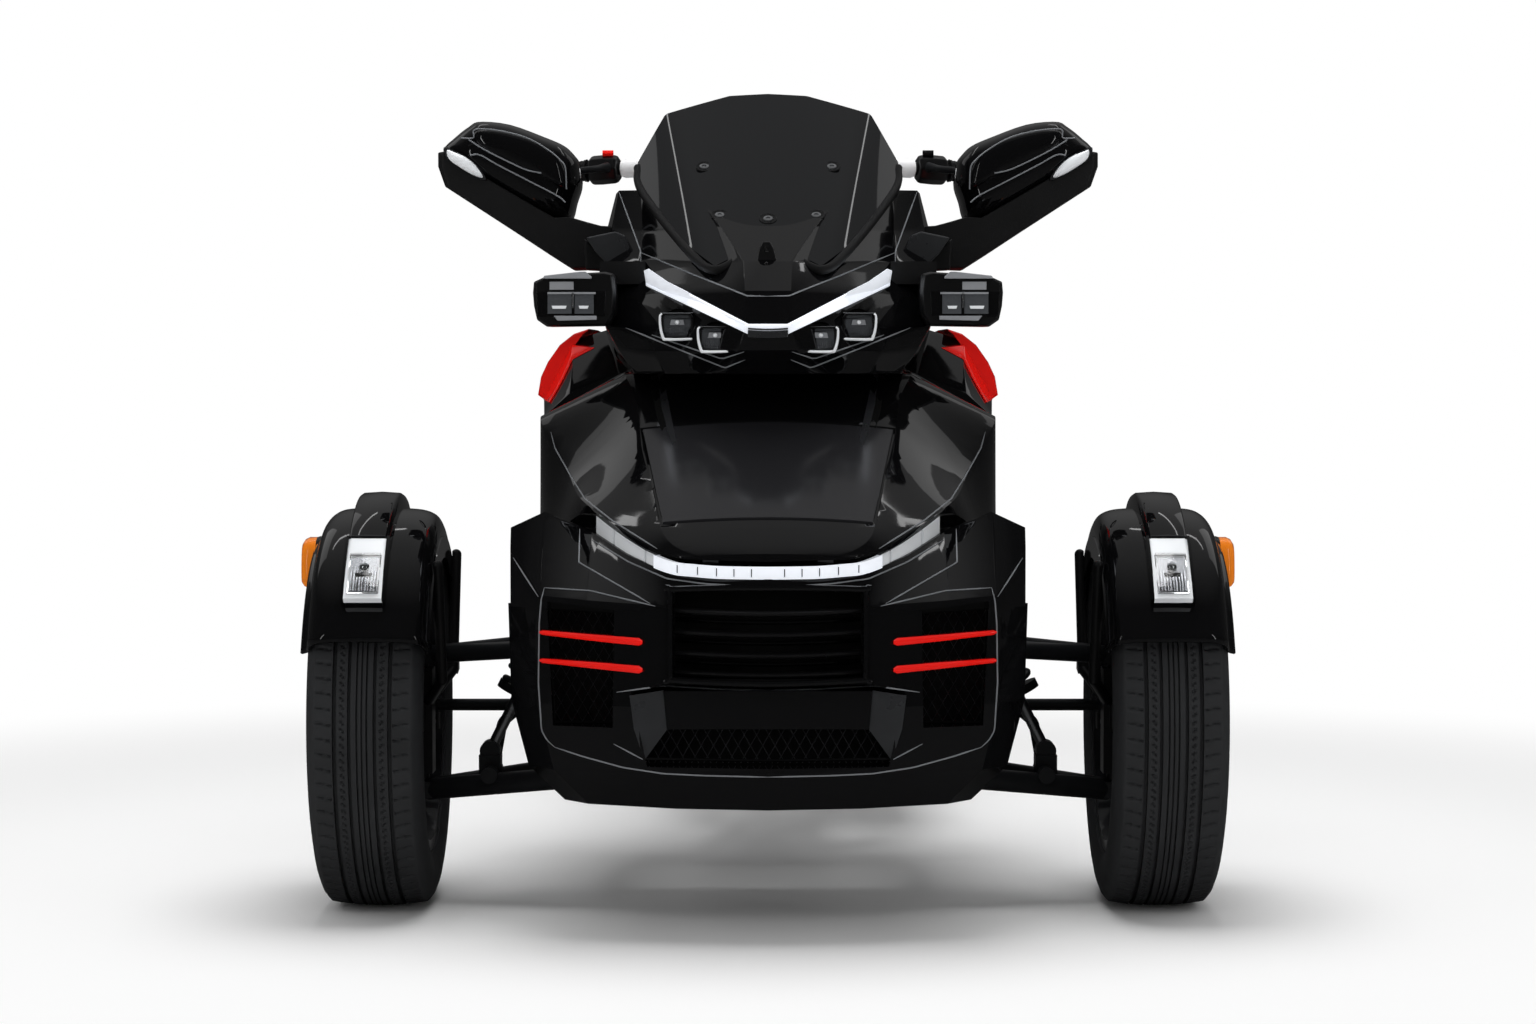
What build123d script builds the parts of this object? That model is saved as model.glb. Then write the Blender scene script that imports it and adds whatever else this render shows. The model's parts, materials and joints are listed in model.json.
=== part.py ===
"""Motor trike with two steered front wheels and one driven rear wheel.

Millimetres, +Z up, the front of the machine faces -Y, the ground is Z = 0.
Lengths along the machine are given as the distance behind the front axle and
are turned into Y by at(). Paired pieces are made for X > 0 and mirrored.
"""

import math
import os

from build123d import *

os.makedirs("parts", exist_ok=True)

# Driving dimensions of the whole machine
TRACK = 1144.0
WHEELBASE = 1600.0
FRONT_OVERHANG = 430.0
REAR_OVERHANG = 392.0
OVERALL_LENGTH = FRONT_OVERHANG + WHEELBASE + REAR_OVERHANG
FRONT_AXLE_Y = FRONT_OVERHANG - OVERALL_LENGTH / 2
SEAT_GAP = 0.3
PANEL_GAP = 4.0

# Front wheel, tyre 165/55 R15
FRONT_TYRE_R = 281.0
FRONT_TYRE_W = 165.0
FRONT_RIM_R = 190.0
FRONT_RIM_W = 144.0
RIM_LIP = 12.0
SPINDLE_R = 17.0
RUNNING_FIT = 0.05
HUB_R = 46.0
FRONT_SPOKES = 5
DISC_R = 125.0
DISC_T = 5.0
DISC_INSET = 20.0

# Rear wheel, tyre 225/50 R15
REAR_TYRE_R = 303.0
REAR_TYRE_W = 225.0
REAR_RIM_W = 200.0
REAR_AXLE_R = 12.0
REAR_HUB_W = 236.0
REAR_DISC_R = 118.0
PULLEY_R = 100.0
PULLEY_W = 24.0

# Steering and front suspension
KINGPIN_X = TRACK / 2 - 60
KINGPIN_R = 9.0
EYE_R = 23.0
EYE_H = 24.0
UPPER_BALL_Z = 370.0
LOWER_BALL_Z = 170.0
UPPER_PIVOT_Z = 396.0
LOWER_PIVOT_Z = 208.0
PIVOT_X = 186.0
PIVOT_HALF = 112.0
UPPER_ARM_R = 13.0
LOWER_ARM_R = 16.0
STEER_ARM = 110.0
TIE_ROD_Z = 285.0
TIE_ROD_R = 9.0
ARM_Z = TIE_ROD_Z - 24
ROLL_BAR_R = 8.0
ROLL_BAR_Z = 322.0
STAY_REACH = 155.0
RAIL_R = 16.0
CROSS_R = 12.0
BUSH_R = 22.0
PAN_T = 5.0
BRACKET_X = 150.0
PAN_HALF = PIVOT_X - BUSH_R - 4

# Front mudguard
GUARD_GAP = 22.0
GUARD_T = 4.0
GUARD_W = 184.0
GUARD_WALL = 44.0
LENS_HALF = 27.0
STAY_R = 8.0
MOVING_GAP = 6.0

# Where the frame's three units meet
FRONT_JOINT = 330.0
REAR_JOINT = 925.0

# Steering column, as points on its axis, and the handlebar
STEER_FOOT = (0, FRONT_AXLE_Y + 470, 760)
STEER_HEAD = (0, FRONT_AXLE_Y + 520, 905)
STEM_R = 20.0
BAR_R = 11.0
BAR_Z = 1120.0

# Swing arm and belt
SWING_PIVOT = 948.0
SWING_PIVOT_Z = 330.0
SWING_TUBE_R = 28.0
SWING_IN = 150.0
SWING_OUT = 174.0
REAR_UPRIGHT_X = 90.0
BELT_T = 7.0
SPROCKET_R = 42.0
SPROCKET_AT = 830.0

# Number plate carrier
PLATE_HALF = 95.0
PLATE_T = 4.0
PLATE_HOLES = 150.0
PLATE_HOLE_R = 3.5
PLATE_HOLE_Z = 510.0

# Body
BODY_HALF = 344.0
LID_T = 6.0
STRIP_SLOPE = math.tan(math.radians(18.4))
STRIP_NOSE_Z = 513.0
STRIP_H = 18.0
FASCIA_BACK = -276.0

LEFT, RIGHT = -1, 1


def at(behind_front_axle):
    """Y of a place given as its distance behind the front axle."""
    return FRONT_AXLE_Y + behind_front_axle


REAR_AXLE_Y = at(WHEELBASE)


def save(name, *shapes):
    """Writes the solids of one sub-part to its own file."""
    solids = [s for shape in shapes for s in shape.solids()]
    export_step(Compound(children=solids), f"parts/{name}.step")


def both_sides(shape):
    """The shape and its mirror image across the middle of the machine."""
    return [shape, mirror(shape, about=Plane.YZ)]


def rod(start, end, radius):
    """A round bar between two points."""
    a, b = Vector(*start), Vector(*end)
    return Solid.make_cylinder(radius, (b - a).length, Plane(origin=a, z_dir=b - a))


def bent_rod(points, bends, radius):
    """A round bar along straight runs joined by arcs of the given radii."""
    path = FilletPolyline(*points, radius=bends)
    disc = Plane(origin=path @ 0, z_dir=path % 0) * Circle(radius)
    return sweep(disc, path=path)


def block(x0, x1, behind0, behind1, z0, z1):
    """A box from its limits, lengthwise ones behind the front axle."""
    return Solid.make_box(x1 - x0, behind1 - behind0, z1 - z0, Plane((x0, at(behind0), z0)))


def face_of(points):
    """A flat face with straight edges."""
    return Face(Wire.make_polygon([Vector(*p) for p in points], close=True))


def mirrored(half):
    """A closed outline from its right half, given from one end on the middle to the other."""
    return half + [(-x, v) for x, v in reversed(half) if abs(x) > 1e-6]


def across(behind, half):
    """A section standing across the machine, from its right half as (x, z)."""
    return face_of([(x, at(behind), z) for x, z in mirrored(half)])


def level(z, half):
    """A level section, from its right half as (x, distance behind the front axle)."""
    return face_of([(x, at(b), z) for x, b in mirrored(half)])


def ruled(faces):
    """A solid with straight runs from each section to the next."""
    return Solid.make_loft([f.outer_wire() for f in faces], ruled=True)


def smooth(faces):
    """A solid that flows smoothly through its sections."""
    return Solid.make_loft([f.outer_wire() for f in faces], ruled=False)


def plane_through(p, q, r):
    """The plane through three points (x, behind, z), with its normal upwards."""
    a, b, c = (Vector(x, at(y), z) for x, y, z in (p, q, r))
    normal = (b - a).cross(c - a).normalized()
    return Plane(origin=a, z_dir=normal if normal.Z > 0 else -normal)


def ring_about_x(profile, centre):
    """A solid turned about an axle from its profile of (offset along X, radius)."""
    points = [(centre[0] + x, centre[1], centre[2] + r) for x, r in profile]
    return revolve(face_of(points), axis=Axis(centre, (1, 0, 0)))


def disc_about_x(centre, x0, x1, radius):
    """A round block on an axle, from x0 to x1 beside the centre."""
    x, y, z = centre
    return rod((x + x0, y, z), (x + x1, y, z), radius)


# Wheels


def tyre(centre, radius, width, rim_radius, rim_width):
    """A road tyre with a crowned tread, seated between the rim's lips."""
    bead = rim_width / 2 - RIM_LIP / 2 - SEAT_GAP
    seat = rim_radius + SEAT_GAP
    lip = rim_radius + RIM_LIP + SEAT_GAP
    wall, shoulder = radius - rim_radius, radius * 0.022
    side = [
        (bead, seat),
        (bead, lip + 1),
        (rim_width / 2 + 3, lip + 4),
        (width / 2, rim_radius + 0.52 * wall),
        (width / 2 - 3, rim_radius + 0.76 * wall),
        (width / 2 - 11, radius - shoulder - 2),
    ]
    lines = [(centre[0] + x, centre[1], centre[2] + r) for x, r in side]
    back = [(centre[0] - x, centre[1], centre[2] + r) for x, r in reversed(side)]
    crown = ThreePointArc(lines[-1], (centre[0], centre[1], centre[2] + radius), back[0])
    edges = Polyline(*lines).edges() + crown.edges() + Polyline(*back).edges()
    edges += Line(back[-1], lines[0]).edges()
    return revolve(Face(Wire(edges)), axis=Axis(centre, (1, 0, 0)))


def rim(centre, radius, width, outward, hub_half, spokes, bore):
    """An alloy wheel: a drop-centre barrel, a hub and tapered spokes near the outer side."""
    half = width / 2
    barrel = [
        (-half, radius + RIM_LIP),
        (-half + RIM_LIP / 2, radius + RIM_LIP),
        (-half + RIM_LIP / 2, radius),
        (-half + 30, radius),
        (-half + 42, radius - 13),
        (half - 42, radius - 13),
        (half - 30, radius),
        (half - RIM_LIP / 2, radius),
        (half - RIM_LIP / 2, radius + RIM_LIP),
        (half, radius + RIM_LIP),
        (half, radius - 4),
        (half - 28, radius - 9),
        (half - 40, radius - 21),
        (-half + 40, radius - 21),
        (-half + 28, radius - 9),
        (-half, radius - 4),
    ]
    wheel = ring_about_x(barrel, centre)
    spoke_x = outward * (half - 34)
    x, y, z = centre
    root_plane = Plane(origin=(x + spoke_x, y, z + HUB_R - 10), x_dir=(1, 0, 0), z_dir=(0, 0, 1))
    tip_plane = Plane(origin=(x + spoke_x, y, z + radius - 14), x_dir=(1, 0, 0), z_dir=(0, 0, 1))
    root = root_plane * Rectangle(30, 50)
    tip = tip_plane * Rectangle(18, 30)
    spoke = ruled([root.face(), tip.face()])
    pieces = [disc_about_x(centre, -hub_half, hub_half, HUB_R)]
    pieces += [
        spoke.rotate(Axis(centre, (1, 0, 0)), 360 / spokes * k) for k in range(spokes)
    ]
    wheel = wheel.fuse(*pieces)
    return wheel - disc_about_x(centre, -half * 2, half * 2, bore)


def brake_disc(centre, x, radius, thickness, bore):
    """A brake disc with its hat, from its inner face at x beside the wheel's centre."""
    profile = [(x, bore), (x + thickness, bore), (x + thickness, radius), (x, radius)]
    return ring_about_x(profile, centre)


def make_front_wheels():
    """Both front wheels: tyre, rim and brake disc, each on its own spinning body."""
    hub_half = 42.0
    for side, word in ((RIGHT, "right"), (LEFT, "left")):
        centre = (side * TRACK / 2, at(0), FRONT_TYRE_R)
        wheel = rim(
            centre,
            FRONT_RIM_R,
            FRONT_RIM_W,
            side,
            hub_half,
            FRONT_SPOKES,
            SPINDLE_R + RUNNING_FIT,
        )
        cap = disc_about_x(centre, side * (hub_half + SEAT_GAP), side * (hub_half + 10), 28)
        inner = -side * (DISC_INSET + DISC_T) if side > 0 else DISC_INSET
        disc = brake_disc(centre, inner, DISC_R, DISC_T, HUB_R)
        disc_seat = disc_about_x(centre, inner, inner + DISC_T, HUB_R + 16)
        save(f"front_rim_{word}", wheel, cap)
        save(f"front_disc_{word}", disc + (disc_seat - disc_about_x(centre, -60, 60, HUB_R)))
        save(
            f"front_tyre_{word}",
            tyre(centre, FRONT_TYRE_R, FRONT_TYRE_W, FRONT_RIM_R, FRONT_RIM_W),
        )


def make_rear_wheel():
    """The driven rear wheel with its brake disc and belt pulley."""
    centre = (0, REAR_AXLE_Y, REAR_TYRE_R)
    wheel = rim(
        centre,
        FRONT_RIM_R,
        REAR_RIM_W,
        RIGHT,
        REAR_HUB_W / 2,
        FRONT_SPOKES,
        REAR_AXLE_R + RUNNING_FIT,
    )
    disc_x = -REAR_HUB_W / 2 + 2
    disc = brake_disc(centre, disc_x, REAR_DISC_R, DISC_T, HUB_R)
    pulley_x = REAR_HUB_W / 2 + SEAT_GAP
    shaft = disc_about_x(centre, 0, REAR_HUB_W, REAR_AXLE_R + RUNNING_FIT)
    pulley = disc_about_x(centre, pulley_x, pulley_x + PULLEY_W, PULLEY_R) - shaft
    save("rear_rim", wheel)
    save("rear_disc_and_pulley", disc, pulley)
    save("rear_tyre", tyre(centre, REAR_TYRE_R, REAR_TYRE_W, FRONT_RIM_R, REAR_RIM_W))


# Front suspension


def make_knuckles(guard):
    """Steered uprights with kingpins, spindle, steering arm, brake caliper and guard stays."""
    y = at(0)
    top = UPPER_BALL_Z - UPPER_ARM_R - MOVING_GAP
    bottom = LOWER_BALL_Z + LOWER_ARM_R + MOVING_GAP + 3
    upright = block(KINGPIN_X - 16, KINGPIN_X + 14, -24, 24, bottom, top)
    parts = [
        rod((KINGPIN_X, y, LOWER_BALL_Z - EYE_H / 2), (KINGPIN_X, y, bottom + 5), KINGPIN_R),
        rod((KINGPIN_X, y, top - 5), (KINGPIN_X, y, UPPER_BALL_Z + EYE_H / 2), KINGPIN_R),
        rod((KINGPIN_X, y, FRONT_TYRE_R), (TRACK / 2 + 38, y, FRONT_TYRE_R), SPINDLE_R),
        rod((KINGPIN_X, y + 10, ARM_Z), (KINGPIN_X, at(STEER_ARM), ARM_Z), 10),
        rod((KINGPIN_X, at(STEER_ARM), ARM_Z - 12), (KINGPIN_X, at(STEER_ARM), ARM_Z + 12), 15),
    ]
    stay_x = TRACK / 2 - FRONT_TYRE_W / 2 - MOVING_GAP - STAY_R
    boss_r = FRONT_TYRE_R + GUARD_GAP - 26
    for ahead in (-1, 1):
        knee = (stay_x, at(ahead * 92), 340)
        top_z = FRONT_TYRE_R + math.sqrt(boss_r**2 - STAY_REACH**2)
        end = (stay_x, at(ahead * STAY_REACH), top_z)
        parts.append(rod((KINGPIN_X - 8, at(ahead * 14), 300), knee, STAY_R))
        parts.append(Pos(*knee) * Sphere(STAY_R).solid())
        parts.append(rod(knee, end, STAY_R))
        parts.append(Pos(*end) * Sphere(STAY_R).solid())
    disc_x = TRACK / 2 - DISC_INSET - DISC_T / 2
    caliper = block(disc_x - 24, disc_x + 24, -150, -78, FRONT_TYRE_R - 34, FRONT_TYRE_R + 34)
    slot_half = DISC_T / 2 + 5
    slot = block(disc_x - slot_half, disc_x + slot_half, -DISC_R - 6, -60, 100, 500)
    carrier = block(KINGPIN_X - 6, disc_x - 12, -90, -10, FRONT_TYRE_R - 20, FRONT_TYRE_R + 20)
    parts.append(caliper - slot)
    parts.append(carrier)
    knuckle = upright.fuse(*parts)
    axle_clear = disc_about_x((TRACK / 2, y, FRONT_TYRE_R), -50, 60, HUB_R + 6)
    spindle = rod((KINGPIN_X, y, FRONT_TYRE_R), (TRACK / 2 + 38, y, FRONT_TYRE_R), SPINDLE_R)
    knuckle = ((knuckle - axle_clear) + spindle) - guard
    for shape, word in zip(both_sides(knuckle), ("right", "left")):
        save(f"knuckle_{word}", shape)


def sector(centre, reach, ahead, behind, x0, x1):
    """A wedge about an axle between two angles from the vertical, in degrees, from x0 to x1."""
    x, y, z = centre
    points = [(x + x0, y, z)]
    for step in range(5):
        angle = math.radians(ahead - (ahead + behind) * step / 4)
        points.append((x + x0, y - reach * math.sin(angle), z + reach * math.cos(angle)))
    return extrude(face_of(points), amount=x1 - x0, dir=(1, 0, 0))


def make_mudguards():
    """Front mudguards that follow the tyre, with a lamp in the ridge on top and a marker outside."""
    centre = (TRACK / 2, at(0), FRONT_TYRE_R)
    half, r = GUARD_W / 2, FRONT_TYRE_R + GUARD_GAP - GUARD_T
    outline = [
        (-half, r - GUARD_WALL),
        (-half + GUARD_T, r - GUARD_WALL),
        (-half + GUARD_T + 3, r - 18),
        (-half + 28, r - 3),
        (0, r + 2),
        (half - 28, r - 3),
        (half - GUARD_T - 3, r - 18),
        (half - GUARD_T, r - GUARD_WALL),
        (half, r - GUARD_WALL),
        (half - 2, r - 14),
        (half - 26, r + 4),
        (0, r + GUARD_T + 4),
        (-half + 26, r + 4),
        (-half + 2, r - 14),
    ]
    guard = ring_about_x(outline, centre) & sector(centre, 2 * r, 65, 80, -2 * half, 2 * half)
    ridge = ring_about_x([(-34, r + 1), (34, r + 1), (27, r + 27), (-27, r + 27)], centre)
    lens = ridge & sector(centre, 2 * r, 55, -34, -LENS_HALF, LENS_HALF)
    lens = lens - ring_about_x([(-40, 0), (40, 0), (40, r + 10), (-40, r + 10)], centre)
    ridge = ridge & sector(centre, 2 * r, 56, 45, -2 * half, 2 * half)
    guard = (guard + ridge) - lens
    marker_z = FRONT_TYRE_R + r - 107
    marker = block(centre[0] + half - 8, centre[0] + half + 22, -36, 36, marker_z, marker_z + 71)
    marker = max((marker - guard).solids(), key=lambda piece: piece.bounding_box().max.X)
    for body, glass, amber, word in zip(
        both_sides(guard), both_sides(lens), both_sides(marker), ("right", "left")
    ):
        save(f"mudguard_{word}", body)
        save(f"mudguard_lamp_{word}", glass)
        save(f"side_marker_{word}", amber)
    return guard


def make_suspension_arms():
    """Upper and lower wishbones and the ends of the anti-roll bar, on both sides."""
    y = at(0)
    arms = []
    for ball_z, pivot_z, radius in (
        (UPPER_BALL_Z, UPPER_PIVOT_Z, UPPER_ARM_R),
        (LOWER_BALL_Z, LOWER_PIVOT_Z, LOWER_ARM_R),
    ):
        eye = rod((KINGPIN_X, y, ball_z - EYE_H / 2), (KINGPIN_X, y, ball_z + EYE_H / 2), EYE_R)
        arm = eye
        for ahead in (-1, 1):
            pivot = (PIVOT_X, at(ahead * PIVOT_HALF), pivot_z)
            arm = arm + rod((KINGPIN_X - 8, at(ahead * 4), ball_z), pivot, radius)
            arm = arm + rod(
                (PIVOT_X, at(ahead * PIVOT_HALF - 22), pivot_z),
                (PIVOT_X, at(ahead * PIVOT_HALF + 22), pivot_z),
                BUSH_R,
            )
        if ball_z == LOWER_BALL_Z:
            arm = arm + block(396, 428, -20, 20, ball_z + 4, ball_z + 52)
            arm = arm + rod((410, at(-62), 196), (410, at(62), 196), 12)
        bore = rod(
            (KINGPIN_X, y, ball_z - EYE_H), (KINGPIN_X, y, ball_z + EYE_H), KINGPIN_R + RUNNING_FIT
        )
        arms.append(arm - bore)
    return arms


def make_front_suspension(frame):
    """Wishbones, coil-over dampers and the anti-roll bar."""
    arms = [arm - frame for arm in make_suspension_arms()]
    foot, head = Vector(412, at(0), 236), Vector(276, at(0), 500)
    along = (head - foot).normalized()
    damper = rod(foot, foot + along * 150, 8)
    damper = damper + rod(foot + along * 118, head, 22)
    damper = damper + (Pos(*foot) * Box(26, 34, 26).solid())
    damper = damper + rod((276, at(-24), 500), (276, at(24), 500), 20)
    coil = rod(foot + along * 128, foot + along * 136, 34)
    for k in range(6):
        coil = coil + rod(foot + along * (150 + 18 * k), foot + along * (158 + 18 * k), 33)
    damper = (damper + coil) - arms[1] - frame
    roll_bar = bent_rod(
        [
            (410, at(52), 200),
            (400, at(76), 262),
            (340, at(82), 312),
            (0, at(82), ROLL_BAR_Z),
        ],
        [18, 24],
        ROLL_BAR_R,
    )
    save("suspension_arms", *both_sides(arms[0]), *both_sides(arms[1]))
    roll_bar = roll_bar - arms[1] - frame
    save("anti_roll_bar", roll_bar.fuse(mirror(roll_bar, about=Plane.YZ)))
    save("front_dampers", *both_sides(damper))
    return roll_bar


# Frame and drive


def make_frame():
    """Welded tube frame: front subframe, steering head, spine and rear subframe."""
    rails = []
    for z in (UPPER_PIVOT_Z, LOWER_PIVOT_Z):
        rails.append(rod((PIVOT_X, at(-170), z), (PIVOT_X, at(330), z), RAIL_R))
    for behind in (-160, -40, 40, 190):
        rails.append(
            rod((PIVOT_X, at(behind), LOWER_PIVOT_Z), (PIVOT_X, at(behind), UPPER_PIVOT_Z), CROSS_R)
        )
    for z in (UPPER_PIVOT_Z, LOWER_PIVOT_Z):
        for behind in (-160, 190):
            rails.append(rod((0, at(behind), z), (PIVOT_X, at(behind), z), CROSS_R))
        rails.append(rod((BRACKET_X, at(-160), z), (BRACKET_X, at(FASCIA_BACK - SEAT_GAP), z), 10))
    rails.append(rod((PIVOT_X, at(0), UPPER_PIVOT_Z), (240, at(0), 500), 12))
    rails.append(rod((240, at(-30), 500), (240, at(30), 500), 18))
    rails.append(rod((0, at(0), 500), (240, at(0), 500), 14))
    knee, waist, heel = (112, at(560), 640), (112, at(860), 620), (REAR_UPRIGHT_X, at(900), 240)
    rails.append(rod((PIVOT_X, at(330), LOWER_PIVOT_Z), heel, RAIL_R))
    rails.append(rod((PIVOT_X, at(330), UPPER_PIVOT_Z), knee, RAIL_R))
    rails.append(rod(knee, waist, RAIL_R))
    rails.append(rod(heel, waist, RAIL_R))
    rails.append(rod(waist, (92, at(1440), 702), 14))
    rails.append(rod((REAR_UPRIGHT_X, at(905), SWING_PIVOT_Z), (94, at(1300), 684), 12))
    rails.append(rod((0, at(560), 640), knee, 14))
    rails.append(rod((0, at(860), 620), waist, 14))
    rails.append(rod((0, at(1300), 684), (94, at(1300), 684), 12))
    pivot_bar = at(SWING_PIVOT - SWING_TUBE_R - SEAT_GAP - 20)
    rails.append(rod((0, pivot_bar, SWING_PIVOT_Z), (REAR_UPRIGHT_X, pivot_bar, SWING_PIVOT_Z), 20))
    side = rails[0].fuse(*rails[1:])
    for end in (knee, waist, heel):
        side = side + (Pos(*end) * Sphere(RAIL_R).solid())
    whole = side + mirror(side, about=Plane.YZ)
    foot, top = Vector(*STEER_FOOT), Vector(*STEER_HEAD)
    head = rod(foot, top, 34)
    stem = rod((0, at(560), 640), (0, at(478), 776), 26)
    bore = rod(foot + (top - foot) * 0.1, top + (top - foot), STEM_R + RUNNING_FIT)
    return (whole + head + stem) - bore


def save_frame(frame):
    """The frame in its three welded units: front, middle and seat frame."""
    front = Plane(origin=(0, at(FRONT_JOINT), 0), z_dir=(0, 1, 0))
    rear = Plane(origin=(0, at(REAR_JOINT), 0), z_dir=(0, 1, 0))
    save("front_subframe", split(frame, bisect_by=front, keep=Keep.BOTTOM))
    behind = split(frame, bisect_by=front, keep=Keep.TOP)
    save("main_frame", split(behind, bisect_by=rear, keep=Keep.BOTTOM))
    save("seat_frame", split(behind, bisect_by=rear, keep=Keep.TOP))


# Front of the body

# z, nose behind, half 1, behind 1, half 2, behind 2, half 3, behind 3
FASCIA_LEVELS = (
    (188, -405, 128, -385, 250, -330, 286, -280),
    (238, -430, 150, -408, 297, -350, 336, -292),
    (330, -428, 155, -408, 321, -345, 360, -292),
    (466, -418, 155, -397, 317, -345, 364, -292),
)

# x, bevel foot behind, bevel foot z, top behind, top z, rear behind, rear z
POD_SECTIONS = (
    (0, -416, 466, -392, 505, -276, 543),
    (134, -400, 468, -373, 511, -276, 543),
    (196, -386, 472, -306, 534, -256, 550),
    (250, -370, 475, -222, 562, -214, 564),
    (316, -345, 480, -254, 592, -240, 592),
    (360, -304, 545, -293, 572, -292, 570),
)


def make_fascia(strip, frame, hinge_room):
    """Front bumper cover with its intakes, the lamp pods on top, and the pieces set into them."""
    levels = []
    for z, nose, x1, b1, x2, b2, x3, b3 in FASCIA_LEVELS:
        half = [(0, nose), (x1, b1), (x2, b2), (x3, b3)]
        half += [(x3 - 14, FASCIA_BACK), (0, FASCIA_BACK)]
        levels.append(level(z, half))
    lower = ruled(levels)
    pods = []
    for x, foot, foot_z, top, top_z, rear, rear_z in POD_SECTIONS:
        side = [(foot, 462), (foot, foot_z), (top, top_z), (rear, rear_z), (rear, 462)]
        pods.append(face_of([(x, at(b), z) for b, z in side]))
    pod = ruled(pods)
    solid = lower.fuse(pod, mirror(pod, about=Plane.YZ))

    centre_mouth = block(-130, 130, -460, -330, 370, 492)
    chin_outline = [(0, 362), (142, 362), (188, 350), (166, 248), (0, 248)]
    chin_mouth = extrude(across(-460, chin_outline), amount=130, dir=(0, 1, 0))
    side_mouth = extrude(
        face_of([(x, at(-460), z) for x, z in ((214, 300), (298, 300), (306, 472), (212, 462))]),
        amount=158,
        dir=(0, 1, 0),
    )
    shell = solid - strip - frame - hinge_room - centre_mouth - chin_mouth
    for mouth in both_sides(side_mouth):
        shell = shell - mouth

    blades = []
    for z_in, z_out in ((419, 429), (381, 390)):
        start, mid, end = (174, at(-401), z_in), (236, at(-380), z_in + 4), (316, at(-347), z_out)
        run = []
        for x, y, z in (start, mid, end):
            corners = [(y - 3, z - 4), (y + 9, z - 4), (y + 9, z + 4), (y - 3, z + 4)]
            run.append(face_of([(x, *corner) for corner in corners]))
        blades.append(ruled(run))
    blades = [piece for blade in blades for piece in both_sides(blade)]
    for blade in blades:
        shell = shell - blade

    slats = []
    for z in (376, 403, 432, 461):
        bow = [(0, -410), (72, -404), (129.7, -388), (129.7, -366), (72, -380), (0, -386)]
        slats.append(extrude(level(z - 4, bow), amount=8, dir=(0, 0, 1)))

    meshes = [block(-129, 129, -334, -330 - SEAT_GAP, 371, 491)]
    meshes.append(block(-150, 150, -334, -330 - SEAT_GAP, 249, 349))
    side_mesh = block(214.3, 297, -306, -302 - SEAT_GAP, 301, 461)
    meshes += both_sides(side_mesh)
    save("front_fascia", shell)
    save("red_blades", *blades)
    save("grilles", *slats, *meshes)


# behind, crown z, lid edge x, lid edge z, shoulder x, shoulder z, flank x, flank z, belly z
NOSE_SECTIONS = (
    (-388, 540, 96, 537, 112, 535, 112, 532, 529),
    (-362, 561, 138, 557, 152, 544, 152, 539, 533),
    (-305, 598, 152, 590, 198, 565, 196, 559, 544),
    (-210, 652, 169, 642, 254, 598, 250, 588, 560),
    (-100, 714, 186, 703, 282, 622, 298, 562, 548),
    (0, 768, 198, 757, 310, 668, 328, 552, 534),
    (110, 808, 206, 794, 336, 722, BODY_HALF, 566, 530),
)


def nose_face(row, drop=0.0):
    """One section across the hood: a crowned top, a fall to the shoulder, then the flank."""
    behind, crown, lid_x, lid_z, sh_x, sh_z, fl_x, fl_z, belly = row
    y = at(behind)
    right = [(0, belly), (fl_x, fl_z), (sh_x, sh_z), (lid_x, lid_z)]
    lines = [(x, y, z - drop) for x, z in right]
    back = [(-x, y, z - drop) for x, z in reversed(right[1:])]
    crown_arc = ThreePointArc(lines[-1], (0, y, crown - drop), back[0])
    edges = Polyline(*lines).edges() + crown_arc.edges() + Polyline(*back).edges()
    edges += Line(back[-1], lines[0]).edges()
    return Face(Wire(edges))


LID_FRONT, LID_REAR = -322.0, -96.0
LID_FRONT_GAP = 6.0
HINGE_AT, HINGE_Z, HINGE_R, HINGE_X = -350.0, 556.0, 2.5, 80.0
# The hinge arm's bends, behind and above the hinge pin
HINGE_BENDS = ((0, 0), (0, -18), (24, -24), (40, -12), (44, 24), (44, 46))
LID_FRONT_HALF, LID_REAR_HALF = 146.0, 182.0
TUB_HALF, TUB_FRONT, TUB_REAR, TUB_FLOOR = 128.0, -264.0, -116.0, 440.0


def lid_prism(grow, low, high):
    """An upright block with the outline of the luggage lid, grown by a margin."""
    front = LID_FRONT - grow * LID_FRONT_GAP / PANEL_GAP
    outline = [
        (0, front),
        (LID_FRONT_HALF + grow, front),
        (LID_REAR_HALF + grow, LID_REAR + grow),
        (0, LID_REAR + grow),
    ]
    return extrude(level(low, outline), amount=high - low, dir=(0, 0, 1))


def hinge_arm(x, radius, bore):
    """One of the luggage lid's goose-neck arms, 10 mm wide, with its eye on the hinge pin."""
    pin = (at(HINGE_AT), HINGE_Z)
    arm = rod((x - 5, *pin), (x + 5, *pin), radius)
    spots = [(pin[0] + y, pin[1] + z) for y, z in HINGE_BENDS]
    for (y0, z0), (y1, z1) in zip(spots, spots[1:]):
        run = math.hypot(y1 - y0, z1 - z0)
        ny, nz = 3 * (z1 - z0) / run, -3 * (y1 - y0) / run
        over = [(y0 + ny, z0 + nz), (y1 + ny, z1 + nz)]
        under = [(y1 - ny, z1 - nz), (y0 - ny, z0 - nz)]
        strip = face_of([(x - 5, *spot) for spot in over + under])
        bend = rod((x - 5, y1, z1), (x + 5, y1, z1), 3)
        arm = arm.fuse(extrude(strip, amount=10, dir=(1, 0, 0)), bend)
    return arm - rod((x - 20, *pin), (x + 20, *pin), bore)


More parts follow.
